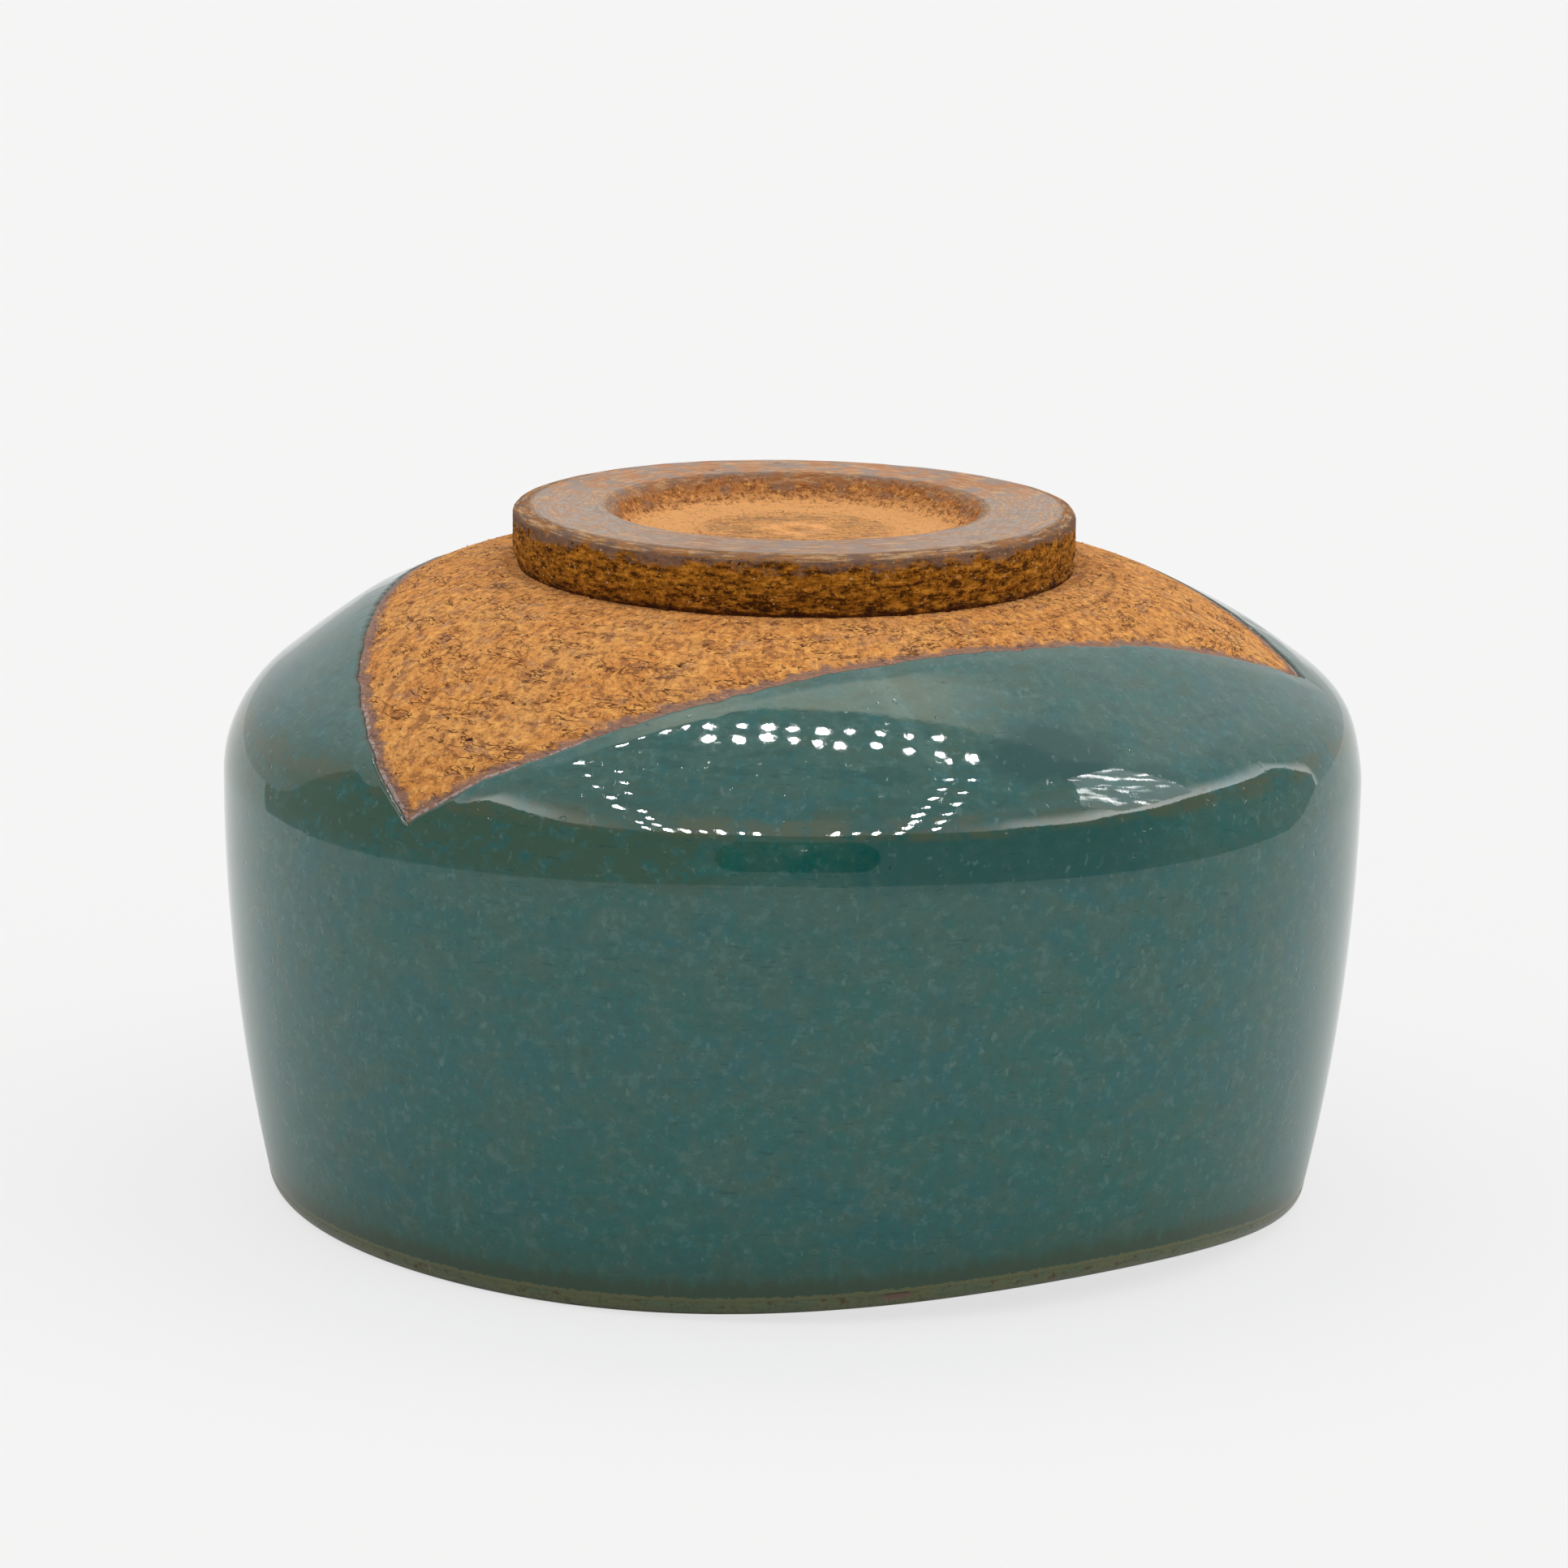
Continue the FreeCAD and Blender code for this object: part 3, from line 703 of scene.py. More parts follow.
def new_finish(name, specular=0.5):
    """A principled material, its tree and its shader."""
    material = bpy.data.materials.new(name)
    material.use_nodes = True
    tree = material.node_tree
    shader = tree.nodes["Principled BSDF"]
    shader.inputs["Specular IOR Level"].default_value = specular
    return material, tree, shader


def own_place(tree):
    """The piece's own coordinates in millimetres."""
    place = add(tree, "ShaderNodeTexCoord").outputs["Object"]
    return vector_calc(tree, "MULTIPLY", place, (1 / MM,) * 3)


def relief(tree, shader, *fields):
    """Relief finer than the mesh: fields and their depths in millimetres, the broadest first.

    A depth below 0 dents the surface where its field is high."""
    normal = None
    for field, depth in fields:
        node = add(tree, "ShaderNodeBump", Strength=1.0, Distance=abs(depth) * MM)
        feed(tree, node.inputs["Height"], times(tree, field, -1.0) if depth < 0 else field)
        if normal:
            feed(tree, node.inputs["Normal"], normal)
        normal = node.outputs[0]
    feed(tree, shader.inputs["Normal"], normal)


CLAY_ORANGE = (0.66, 0.272, 0.065)
CLAY_GOLD = (0.92, 0.47, 0.130)
CLAY_PALE = (0.76, 0.42, 0.15)
CLAY_BROWN = (0.29, 0.112, 0.042)
CLAY_RUST = (0.25, 0.080, 0.018)
# painted shade: dark brown laid into the torn cracks
PAINTED_CRACK_SHADE = (0.13, 0.040, 0.012)
CLAY_MAUVE = (0.36, 0.195, 0.125)
# painted shade: near-black laid into pits, scored grooves, cracks and the corner under the foot
PAINTED_CREVICE_SHADE = (0.050, 0.016, 0.007)
FRINGE_MAUVE = (0.23, 0.130, 0.105)
# painted highlight: a pale line along the fringe's edge by the glaze
FRINGE_PAINTED_HIGHLIGHT = (0.42, 0.33, 0.31)


def cracks(tree, place, size, shift):
    """Thin broken lines, about that long and that far apart across the surface."""
    course = cloud(tree, place, size, detail=2.0, roughness=0.5, shift=shift)
    line = calc(tree, "ABSOLUTE", calc(tree, "SUBTRACT", course, 0.5))
    broken = cloud(tree, place, tuple(2.2 * side for side in size), detail=2.0, shift=shift + 4)
    return times(tree, band(tree, line, 0.028, 0.006), band(tree, broken, 0.52, 0.60))


def bare_clay_finish():
    """Toasted orange clay with drag marks, mauve flashes, and a mauve fringe by the glaze, with
    painted shade in its cracks, pits and scored groove and a painted highlight along the fringe.
    """
    material, tree, shader = new_finish("bare_clay", 0.15)
    place, position = attribute(tree, "turned", "Vector"), own_place(tree)
    toast = cloud(tree, position, 7.0, shift=2.0)
    pebbles = cloud(tree, place, (1 / 40, 1 / 40, 1.15), roughness=0.6, shift=5.0)
    fine = cloud(tree, place, (1 / 72, 1 / 72, 0.70), detail=2.0, roughness=0.7, shift=8.0)
    flash = cloud(tree, place, (1 / 16, 1 / 16, 1.9), roughness=0.65, shift=12.0)
    torn = most(tree, cracks(tree, place, (1 / 26, 1 / 26, 0.75), 31.0),
                cracks(tree, place, (1 / 17, 1 / 17, 0.9), 44.0))
    reach = attribute(tree, "reach")
    fringe = ragged(tree, reach, cloud(tree, position, 1.3, shift=30.0), 3.0)
    fringe = band(tree, fringe, -1.6, -0.8)
    # how strong the fringe's painted highlight is: stronger lower down
    lower = plus(tree, 0.25, band(tree, parts(tree, position)[2], 58.5, 56.0))
    colour = layers(
        tree, CLAY_ORANGE,
        (CLAY_PALE, band(tree, toast, 0.35, 0.68), 0.35),
        (CLAY_MAUVE, band(tree, flash, 0.54, 0.66), 0.6),
        (CLAY_GOLD, band(tree, pebbles, 0.46, 0.34), 0.6),
        (CLAY_BROWN, band(tree, pebbles, 0.52, 0.63), 0.7),
        (CLAY_BROWN, band(tree, fine, 0.54, 0.66), 0.7),
        (CLAY_GOLD, band(tree, fine, 0.44, 0.33), 0.6),
        # painted shade in the torn cracks and the deepest marks
        (PAINTED_CRACK_SHADE, torn, 0.9),
        (PAINTED_CREVICE_SHADE, band(tree, attribute(tree, "marks"), 0.70, 1.05)),
        (FRINGE_MAUVE, fringe, 0.85),
        # a painted highlight along the glaze's edge, strongest lower down
        (FRINGE_PAINTED_HIGHLIGHT, band(tree, reach, -0.50, -0.25), band(tree, fine, 0.42, 0.54), lower),
        # painted shade in the scored groove
        (PAINTED_CREVICE_SHADE, attribute(tree, "groove")),
        (CLAY_PALE, attribute(tree, "grain")))
    feed(tree, shader.inputs["Base Color"], colour)
    feed(tree, shader.inputs["Roughness"],
         calc(tree, "SUBTRACT", 0.85, times(tree, fringe, 0.35)))
    relief(tree, shader, (pebbles, -0.40), (fine, -0.20), (torn, -0.12))
    return material


# how far the thrown shape strays from round: direction, place along the section, spread in
# degrees and in millimetres, and how far out
STRAYS = ((-170, 57.0, 60, 7.0, -0.30), (150, 62.0, 50, 8.0, -0.28), (20, 68.0, 55, 8.0, -0.22),
          (0, 53.0, 40, 3.6, 0.40))


def stray(turn, along):
    """How far out of round the outside is, in millimetres."""
    total = np.zeros(np.broadcast(turn, along).shape)
    for direction, place, spread, run, out in STRAYS:
        off = (np.degrees(turn) - direction + 180) % 360 - 180
        total += out * np.exp(-(off / spread) ** 2 - ((along - place) / run) ** 2)
    return total * np.clip((along - 45.5) / 4, 0, 1) * np.clip((TOP_ALONG - along) / 4, 0, 1)


# the line that a tool's corner scored round the foot: direction, radius and depth
SCORED_LINE = ((-165, 33.3, 0.0), (-156, 33.6, 0.12), (-146, 34.0, 0.10), (-135, 34.6, 0.0),
               (-75, 36.2, 0.0), (-51, 36.2, 0.06), (-42, 35.5, 0.16), (-23, 34.7, 0.2),
               (-5, 33.4, 0.2), (12, 30.7, 0.14), (20, 30.0, 0.0))

CLAY_TURNS = 860
clay_round = np.linspace(-math.pi, math.pi, CLAY_TURNS, endpoint=False)
patch_edge = dip_edges(clay_round).max(axis=0)
UNDER_GLAZE = 1.2       # how far the fine rows run on under the coats
DUG_DEPTH, DUG_WIDTH, SCORED_WIDTH = 0.55, 0.75, 0.16
UNDER_FOOT = (0.0, 12.0, 22.0, 27.0)    # radii of the flat rows that the foot hides
PATCH_ROWS, HIDDEN_ROWS = 78, 8

rows, alongs = [], []
for radius in UNDER_FOOT:
    rows.append(np.tile([radius, SEAT_HEIGHT + GLAZE, 0.0, 1.0], (CLAY_TURNS, 1)))
    alongs.append(np.full(CLAY_TURNS, TOP_ALONG + SEAT_RADIUS - radius))
start = patch_edge - UNDER_GLAZE
for share in np.linspace(0, 1, PATCH_ROWS) ** 0.93:
    alongs.append(TOP_ALONG + (start - TOP_ALONG) * share)
    rows.append(on_outside(alongs[-1]))
for share in np.linspace(0, 1, HIDDEN_ROWS)[1:-1]:
    alongs.append(start + (lip_band(clay_round) - start) * share)
    rows.append(on_outside(alongs[-1]))
section = np.concatenate([np.array(rows), lip_section(clay_round, 2),
                          hollow_section(clay_round, 4, 4, 4)])
along = np.zeros(section.shape[:2])
along[:len(alongs)] = alongs
finished, normals = spin(section, clay_round)
points = finished - normals * (GLAZE - stray(clay_round, along))[..., None]
reach = glaze_reach(finished, normals, clay_round)
radius = np.hypot(points[..., 0], points[..., 1])
scored_at, scored_radius, scored_depth = np.array(SCORED_LINE).T
degrees = np.degrees(clay_round)
groove = np.exp(-((radius - np.interp(degrees, scored_at, scored_radius)) / SCORED_WIDTH) ** 2)
groove *= np.interp(degrees, scored_at, scored_depth) * (along > 60)
points -= normals * groove[..., None]
# the tool dug in where the foot meets the wall, most of all in front
dug = DUG_DEPTH * np.exp(-((radius - FOOT_RADIUS - 0.1) / DUG_WIDTH) ** 2) * (along > 60)
points[..., 2] -= dug * (0.75 - 0.25 * np.sin(clay_round))
bare = np.clip(-reach / 0.6, 0, 1) * (radius > SEAT_RADIUS - 1) * (along > 0)
clay = skin("bare_clay_wall", points, {
    "turned": turned_place(clay_round, along), "reach": reach, "tooth": bare,
    # the scored groove's depth, which the finish also paints as shade
    "groove": groove * 3})
work(clay, bare_clay_finish(), pits=0.17, rings=0.09, grain_size=0.2, grain_density=0.16,
     seed=3)
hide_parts("clay_body")
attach(clay, "root")


# ---- Foot ring ---------------------------------------------------------------
# Turned from the same lump while it was leather-hard. The tool tore the coarse clay of its side,
# smoothed its bevelled face, and left a low boss in the middle of the well.

FOOT_ROOT_RADIUS, FOOT_ROOT_DEPTH = 29.1, 0.6
FOOT_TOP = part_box("foot_ring")[1].z / MM
BEVEL_RADIUS, BEVEL_DROP = 27.9, 0.4
WELL_MOUTH, WELL_FLOOR_RADIUS, WELL_FLOOR = 19.9, 17.2, 69.9
BOSS_RADIUS, BOSS_RISE = 10.4, 0.35


def turned_line(corners, fine, coarse):
    """A section through those corners, rows of r, z and radius, each rounded to its radius.

    The steps are fine on the rounds and coarse between them."""
    corners = np.array(corners)
    points, steps = [corners[0, :2]], [coarse]
    for before, corner, after in zip(corners[:-2], corners[1:-1], corners[2:]):
        back, on = before[:2] - corner[:2], after[:2] - corner[:2]
        back, on = back / np.hypot(*back), on / np.hypot(*on)
        half = math.acos(np.clip(back @ on, -1, 1)) / 2
        start = corner[:2] + back * corner[2] / math.tan(half)
        end = corner[:2] + on * corner[2] / math.tan(half)
        middle = corner[:2] + (back + on) / np.hypot(*(back + on)) * corner[2] / math.sin(half)
        for share in np.linspace(0, 1, 25):
            spoke = (start - middle) * (1 - share) + (end - middle) * share
            points.append(middle + spoke * corner[2] / np.hypot(*spoke))
            steps.append(fine)
    points, steps = np.array(points + [corners[-1, :2]]), np.array(steps + [coarse])
    span = np.hypot(*np.diff(points, axis=0).T)
    # a run between two rounds is coarse in its middle
    pace = np.where(span > 0.5, coarse, np.minimum(steps[1:], steps[:-1]))
    count = np.concatenate([[0], np.cumsum(span / pace)])
    at = np.linspace(0, count[-1], math.ceil(count[-1]) + 1)
    line = np.stack([np.interp(at, count, points[:, k]) for k in (0, 1)], axis=1)
    ahead = np.gradient(line, axis=0)
    ahead /= np.hypot(*ahead.T)[:, None]
    return np.stack([line[:, 0], line[:, 1], ahead[:, 1], -ahead[:, 0]], axis=1)


FOOT_SIDE = (0.33, 0.120, 0.010)
FOOT_SIDE_DARK = (0.055, 0.018, 0.003)
FOOT_SIDE_GOLD = (0.72, 0.300, 0.035)
FOOT_MAUVE = (0.21, 0.135, 0.105)
FOOT_FACE = (0.32, 0.235, 0.190)
# painted sheen: the pale that the face shows at its sides
FOOT_PAINTED_SHEEN = (0.46, 0.41, 0.36)
FOOT_CHIPPED = (0.36, 0.170, 0.075)
FOOT_TAN = (0.62, 0.40, 0.22)
WELL_WALL = (0.50, 0.200, 0.060)
WELL_ORANGE = (0.90, 0.45, 0.170)


def turned_foot_finish():
    """Dark torn sides, a mauve face streaked with tan, and an orange well, with painted shade in
    its pits, cracks and corner and a painted pale sheen at the face's sides.
    """
    material, tree, shader = new_finish("turned_foot", 0.06)
    place, position = attribute(tree, "turned", "Vector"), own_place(tree)
    across, back, height = parts(tree, position)
    radius = length(tree, vector_calc(tree, "MULTIPLY", position, (1.0, 1.0, 0.0)))
    torn = cloud(tree, place, (1 / 17, 1 / 17, 0.55), detail=4.0, roughness=0.7, shift=5.0)
    fine = cloud(tree, position, 0.55, roughness=0.7, shift=6.0)
    streaks = cloud(tree, place, (1 / 10, 1 / 10, 0.45), detail=4.0, roughness=0.65, shift=11.0)
    patches = cloud(tree, position, (2.8, 2.8, 1.6), shift=14.0)
    strokes = cloud(tree, position, (2.6, 0.9, 1.0), roughness=0.65, shift=61.0)
    gaps = cracks(tree, place, (1 / 11, 1 / 11, 0.8), 51.0)

    # the side is mauve at the top, with painted shade in its cracks and in the corner under it
    upper = plus(tree, height, times(tree, patches, 5.0))
    lower = plus(tree, height, times(tree, torn, -2.4))
    side = layers(
        tree, FOOT_SIDE,
        (FOOT_SIDE_GOLD, band(tree, torn, 0.47, 0.36), 0.8),
        (FOOT_SIDE_DARK, band(tree, torn, 0.51, 0.60), 0.9),
        (FOOT_SIDE_GOLD, band(tree, fine, 0.45, 0.34), 0.7),
        (FOOT_SIDE_DARK, band(tree, fine, 0.55, 0.66), 0.8),
        # painted shade in the cracks
        (PAINTED_CREVICE_SHADE, gaps),
        (FOOT_MAUVE, band(tree, upper, 73.4, 74.5), 0.8),
        # painted shade in the corner under the side
        (PAINTED_CREVICE_SHADE, band(tree, lower, 66.1, 65.2), 0.9))

    # the face is browner behind, has a painted pale sheen at its sides, and its rim is chipped
    browner = plus(tree, 0.30, times(tree, band(tree, back, -6.0, 14.0), 0.50))
    painted_sheen_sides = band(tree, calc(tree, "ABSOLUTE", across), 9.0, 19.0)
    rim = layers(
        tree, FOOT_CHIPPED,
        (FOOT_MAUVE, band(tree, patches, 0.44, 0.58)),
        (FOOT_TAN, band(tree, streaks, 0.48, 0.60), 0.8),
        (FOOT_SIDE, band(tree, torn, 0.54, 0.62), 0.7))
    outward = plus(tree, radius, times(tree, streaks, 2.0))
    face = layers(
        tree, FOOT_FACE,
        (FOOT_MAUVE, band(tree, patches, 0.46, 0.62), 0.5),
        (WELL_WALL, browner, band(tree, patches, 0.42, 0.56)),
        (FOOT_TAN, band(tree, streaks, 0.49, 0.62), band(tree, patches, 0.34, 0.52), 0.8),
        (FOOT_MAUVE, band(tree, streaks, 0.45, 0.34), 0.45),
        # a painted pale sheen at the face's sides
        (FOOT_PAINTED_SHEEN, painted_sheen_sides, band(tree, back, 14.0, 2.0), band(tree, streaks, 0.52, 0.42), 0.6),
        (rim, band(tree, outward, BEVEL_RADIUS + 0.7, BEVEL_RADIUS + 1.3)),
        (FOOT_SIDE, band(tree, fine, 0.56, 0.68), 0.45))

    # the well is coarse on its wall and its boss, and smooth between them
    boss = band(tree, ragged(tree, radius, patches, 5.0), BOSS_RADIUS + 0.6, BOSS_RADIUS - 1.2)
    rough = most(tree, times(tree, boss, 0.45), band(tree, radius, 16.6, 17.8))
    grit = plus(tree, 0.15, times(tree, rough, 0.7))
    off_middle = band(tree, radius, 2.0, 6.0)
    well = layers(
        tree, WELL_WALL,
        (WELL_ORANGE, band(tree, radius, 19.0, 17.2)),
        (CLAY_BROWN, off_middle, band(tree, torn, 0.50, 0.60), grit),
        (CLAY_BROWN, boss, band(tree, strokes, 0.50, 0.62), 0.45),
        (CLAY_MAUVE, boss, band(tree, patches, 0.50, 0.62), 0.4),
        (CLAY_GOLD, band(tree, fine, 0.46, 0.34), grit),
        (CLAY_RUST, band(tree, fine, 0.54, 0.66), grit),
        (CLAY_RUST, off_middle, gaps, 0.7),
        (FOOT_MAUVE, band(tree, patches, 0.55, 0.64), band(tree, radius, 17.6, 19.2)))

    upright = band(tree, attribute(tree, "upward"), 0.75, 0.40)
    colour = layers(
        tree, well,
        (face, band(tree, ragged(tree, radius, patches, 3.0), 18.8, 19.9)),
        (side, upright, band(tree, radius, 26.0, 28.0)),
        # painted shade in the deepest marks, the torn step and the flaws
        (PAINTED_CREVICE_SHADE, band(tree, attribute(tree, "marks"), 0.75, 1.1)),
        (PAINTED_CREVICE_SHADE, attribute(tree, "tear")),
        (FOOT_TAN, attribute(tree, "grain")))
    feed(tree, shader.inputs["Base Color"], colour)
    polish = times(tree, band(tree, radius, 19.6, 20.6),
                   band(tree, radius, BEVEL_RADIUS + 0.4, BEVEL_RADIUS - 0.4))
    feed(tree, shader.inputs["Roughness"],
         calc(tree, "SUBTRACT", 0.85, times(tree, polish, 0.4)))
    unpolished = calc(tree, "SUBTRACT", 1.0, times(tree, polish, 0.8))
    relief(tree, shader, (times(tree, torn, off_middle, unpolished), -0.50),
           (times(tree, fine, unpolished), -0.26))
    return material


# small flaws: place across and along the foot in millimetres, radius and depth
FOOT_FLAWS = ((13.3, 9.5, 0.35, 0.45), (18.8, 22.0, 0.5, 0.25), (-2.0, 26.2, 0.4, 0.2),
              (-9.0, 20.5, 0.3, 0.3))
FOOT_SHIFT = 0.2        # how far off centre the foot was turned

foot_line = turned_line((
    (0.0, SEAT_HEIGHT, 0.0), (FOOT_ROOT_RADIUS - 1.0, SEAT_HEIGHT, 0.02),
    (FOOT_ROOT_RADIUS - 0.4, SEAT_HEIGHT - FOOT_ROOT_DEPTH, 0.02),
    (FOOT_ROOT_RADIUS, SEAT_HEIGHT - FOOT_ROOT_DEPTH, 0.02),
    (FOOT_RADIUS, SEAT_HEIGHT + 1.5, 1.0), (FOOT_RADIUS, FOOT_TOP - BEVEL_DROP, 0.7),
    (BEVEL_RADIUS, FOOT_TOP - 0.02, 2.0), (WELL_MOUTH, FOOT_TOP - 0.02, 1.4),
    (WELL_FLOOR_RADIUS, WELL_FLOOR, 1.4), (BOSS_RADIUS, WELL_FLOOR, 0.2),
    (BOSS_RADIUS - 0.35, WELL_FLOOR + BOSS_RISE, 0.25), (0.0, WELL_FLOOR + BOSS_RISE, 0.0)),
    fine=0.17, coarse=0.34)
under = (foot_line[:, 1] < SEAT_HEIGHT + 1e-6) & (foot_line[:, 0] < FOOT_ROOT_RADIUS - 1.2)
foot_line = np.concatenate([foot_line[under][::12], foot_line[under][-1:], foot_line[~under]])
FOOT_TURNS = 700
foot_round = np.linspace(-math.pi, math.pi, FOOT_TURNS, endpoint=False)
section = np.repeat(foot_line[:, None], FOOT_TURNS, axis=1)
points, normals = spin(section, foot_round)
along = np.repeat(run_along(foot_line)[:, None], FOOT_TURNS, axis=1)
sway = (0.5 + 0.5 * round_noise(foot_round, 1.3, 40) + 0.3 * round_noise(foot_round, 7, 41))
upright = section[..., 1] > SEAT_HEIGHT + 0.3
points -= normals * (0.16 * sway * upright)[..., None]
# a torn step on the far side of the boss, and a few pits, into which the finish paints shade
turn_grid = np.broadcast_to(foot_round, along.shape)
away = np.abs(np.degrees(turn_grid) - 78.0)
tear = np.exp(-((section[..., 0] - BOSS_RADIUS - 0.15) / 0.35) ** 2) * np.clip(
    (26 - away) / 10, 0, 1) * (section[..., 3] > 0.2)
for x, y, size, depth in FOOT_FLAWS:
    gap = np.hypot(points[..., 0] - x, points[..., 1] - y) / size
    pit = np.exp(-gap ** 2) * upright
    points[..., 2] -= depth * pit
    tear = np.maximum(tear, np.clip(pit * 1.6 - 0.5, 0, 1))
points[..., 2] -= 0.25 * tear
points[..., 0] -= FOOT_SHIFT * (section[..., 1] > SEAT_HEIGHT + 0.3)
foot = skin("turned_foot", points, {
    "turned": turned_place(foot_round, along), "upward": section[..., 3], "tear": tear,
    "tooth": np.where((section[..., 1] > SEAT_HEIGHT + 0.2)
                      & (section[..., 1] < FOOT_TOP - BEVEL_DROP),
                      np.interp(section[..., 3], (0.3, 0.9), (1.0, 0.4)), 0)})
work(foot, turned_foot_finish(), pits=0.20, rings=0.05, grain_size=0.2, grain_density=0.15,
     seed=5)
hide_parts("foot_ring")
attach(foot, "root")


# ---- First, second and third dips --------------------------------------------
# The bowl was held by its foot and dipped three times, tilted, into one bucket of glossy copper
# glaze. Each coat lies against the last, and its free edge on the bare clay is a rounded bead.

TURNS = 860
all_round = np.linspace(-math.pi, math.pi, TURNS, endpoint=False)
FREE_EDGE, EDGE_STEP = 0.55, 0.34    # how wide and how high the rounded edge of a coat is
EDGE_SLOPE = 2.6                     # how far in a coat reaches its full thickness
FULL_COAT = GLAZE - 0.015            # a hair under the drawn coat, to stay inside it
SUNK = 0.1                           # how far the back of a coat lies in the clay
# rows of a coat: the one at its edge, how fast they widen, the widest, and how many
EDGE_ROW, ROW_GROWTH, WIDEST_ROW, COAT_ROWS = 0.05, 1.075, 0.85, 130

GLAZE_TEAL = (0.010, 0.109, 0.094)
GLAZE_BLUE = (0.009, 0.107, 0.108)
GLAZE_GREY = (0.035, 0.108, 0.086)
GLAZE_OLIVE = (0.032, 0.082, 0.052)
GLAZE_SHADE = (0.032, 0.054, 0.026)
GLAZE_DEEP = (0.004, 0.064, 0.058)
GLAZE_RIM = (0.028, 0.038, 0.020)
GLAZE_PALE = (0.100, 0.195, 0.175)
GLAZE_TAN = (0.062, 0.084, 0.044)
LIP_OLIVE = (0.105, 0.118, 0.050)
RUN_START, RUN_LEAN = (8.7, 62.8), 0.84     # across and up, and how far it slants
POOL_CENTRE, POOL_HALF = (25.5, -47.0, 56.5), (7.5, 7.0, 2.6)     # where the glaze pooled dark
RIDGE_HEIGHT = 51.1                         # where the glaze broke tan over the shoulder


def glaze_finish(name):
    """Glossy blue-green glaze, clouded grey and olive, with soft specks and short dark dashes."""
    material, tree, shader = new_finish(name)
    place, position = attribute(tree, "turned", "Vector"), own_place(tree)
    along = parts(tree, place)[2]
    across, back, up = parts(tree, position)
    reach, above_lip = attribute(tree, "reach"), attribute(tree, "above_lip")
    drift = cloud(tree, position, (12.0, 12.0, 8.0), shift=3.0)
    fog = cloud(tree, position, (4.5, 4.5, 3.2), detail=4.0, roughness=0.6, shift=13.0)
    clouds = cloud(tree, position, (1.9, 1.9, 1.4), roughness=0.6, shift=7.0)
    mottle = cloud(tree, position, 0.6, detail=2.0, roughness=0.6, shift=9.0)
    specks = cloud(tree, place, (1 / 62, 1 / 62, 1.25), shift=17.0)
    dashes = cloud(tree, place, (1 / 30, 1 / 30, 0.40), detail=2.0, shift=19.0)
    wisps = cloud(tree, place, (1 / 9, 1 / 9, 2.0), detail=4.0, roughness=0.6, shift=29.0)
    runs = cloud(tree, place, (1 / 60, 1 / 60, 5.0), shift=23.0)
    flecks = cloud(tree, place, (1 / 42, 1 / 42, 1.3), roughness=0.7, shift=37.0)

    greyness = plus(tree, fog, times(tree, band(tree, along, 30.0, 46.0), 0.07))
    dome = band(tree, along, 48.0, 56.0)
    shoulder = times(tree, band(tree, along, 44.0, 47.0), band(tree, along, 56.0, 50.0))
    to_left = plus(tree, across, times(tree, fog, -14.0))
    olive_share = plus(tree, 0.10, times(tree, band(tree, to_left, -10.0, -18.0), 0.85))
    off_ridge = calc(tree, "ABSOLUTE", calc(tree, "SUBTRACT", up, plus(
        tree, RIDGE_HEIGHT - 1.0, times(tree, wisps, 2.0))))
    colour = layers(
        tree, GLAZE_TEAL,
        (GLAZE_BLUE, band(tree, drift, 0.40, 0.60)),
        (GLAZE_GREY, band(tree, greyness, 0.45, 0.62), 0.85),
        (GLAZE_OLIVE, band(tree, clouds, 0.50, 0.66), 0.40),
        (GLAZE_DEEP, band(tree, clouds, 0.44, 0.32), 0.25),
        (GLAZE_GREY, band(tree, mottle, 0.54, 0.68), 0.30),
        (GLAZE_DEEP, band(tree, mottle, 0.46, 0.34), 0.22),
        (GLAZE_GREY, band(tree, runs, 0.50, 0.64), 0.35),
        (GLAZE_BLUE, band(tree, runs, 0.46, 0.34), 0.30),
        (GLAZE_PALE, band(tree, flecks, 0.52, 0.66), 0.30),
        (GLAZE_DEEP, band(tree, flecks, 0.44, 0.32), 0.35),
        (GLAZE_OLIVE, band(tree, wisps, 0.54, 0.66), plus(tree, 0.15, times(tree, dome, 0.45))),
        (GLAZE_DEEP, band(tree, wisps, 0.45, 0.34), plus(tree, 0.15, times(tree, dome, 0.40))),
        (GLAZE_OLIVE, shoulder, band(tree, clouds, 0.34, 0.52), olive_share),
        (GLAZE_DEEP, shoulder, band(tree, to_left, -8.0, 4.0), band(tree, to_left, 36.0, 24.0),
         0.65),
        (GLAZE_TAN, band(tree, off_ridge, 1.3, 0.4), band(tree, fog, 0.38, 0.56), 0.8))

    # a pale run down the front of the dome, with an olive one beside it
    down_run = times(tree, calc(tree, "SUBTRACT", up, RUN_START[1]), RUN_LEAN)
    off_run = ragged(tree, plus(tree, across, down_run, -RUN_START[0]), clouds, 1.6)
    in_front = times(tree, band(tree, back, -8.0, -16.0), band(tree, up, 53.5, 57.5),
                     band(tree, clouds, 0.34, 0.50))
    for middle, share, tint in ((0.0, 0.30, GLAZE_PALE), (2.2, 0.45, GLAZE_OLIVE)):
        off = calc(tree, "ABSOLUTE", calc(tree, "SUBTRACT", off_run, middle))
        colour = layers(tree, colour, (tint, in_front, band(tree, off, 1.3, 0.5), share))

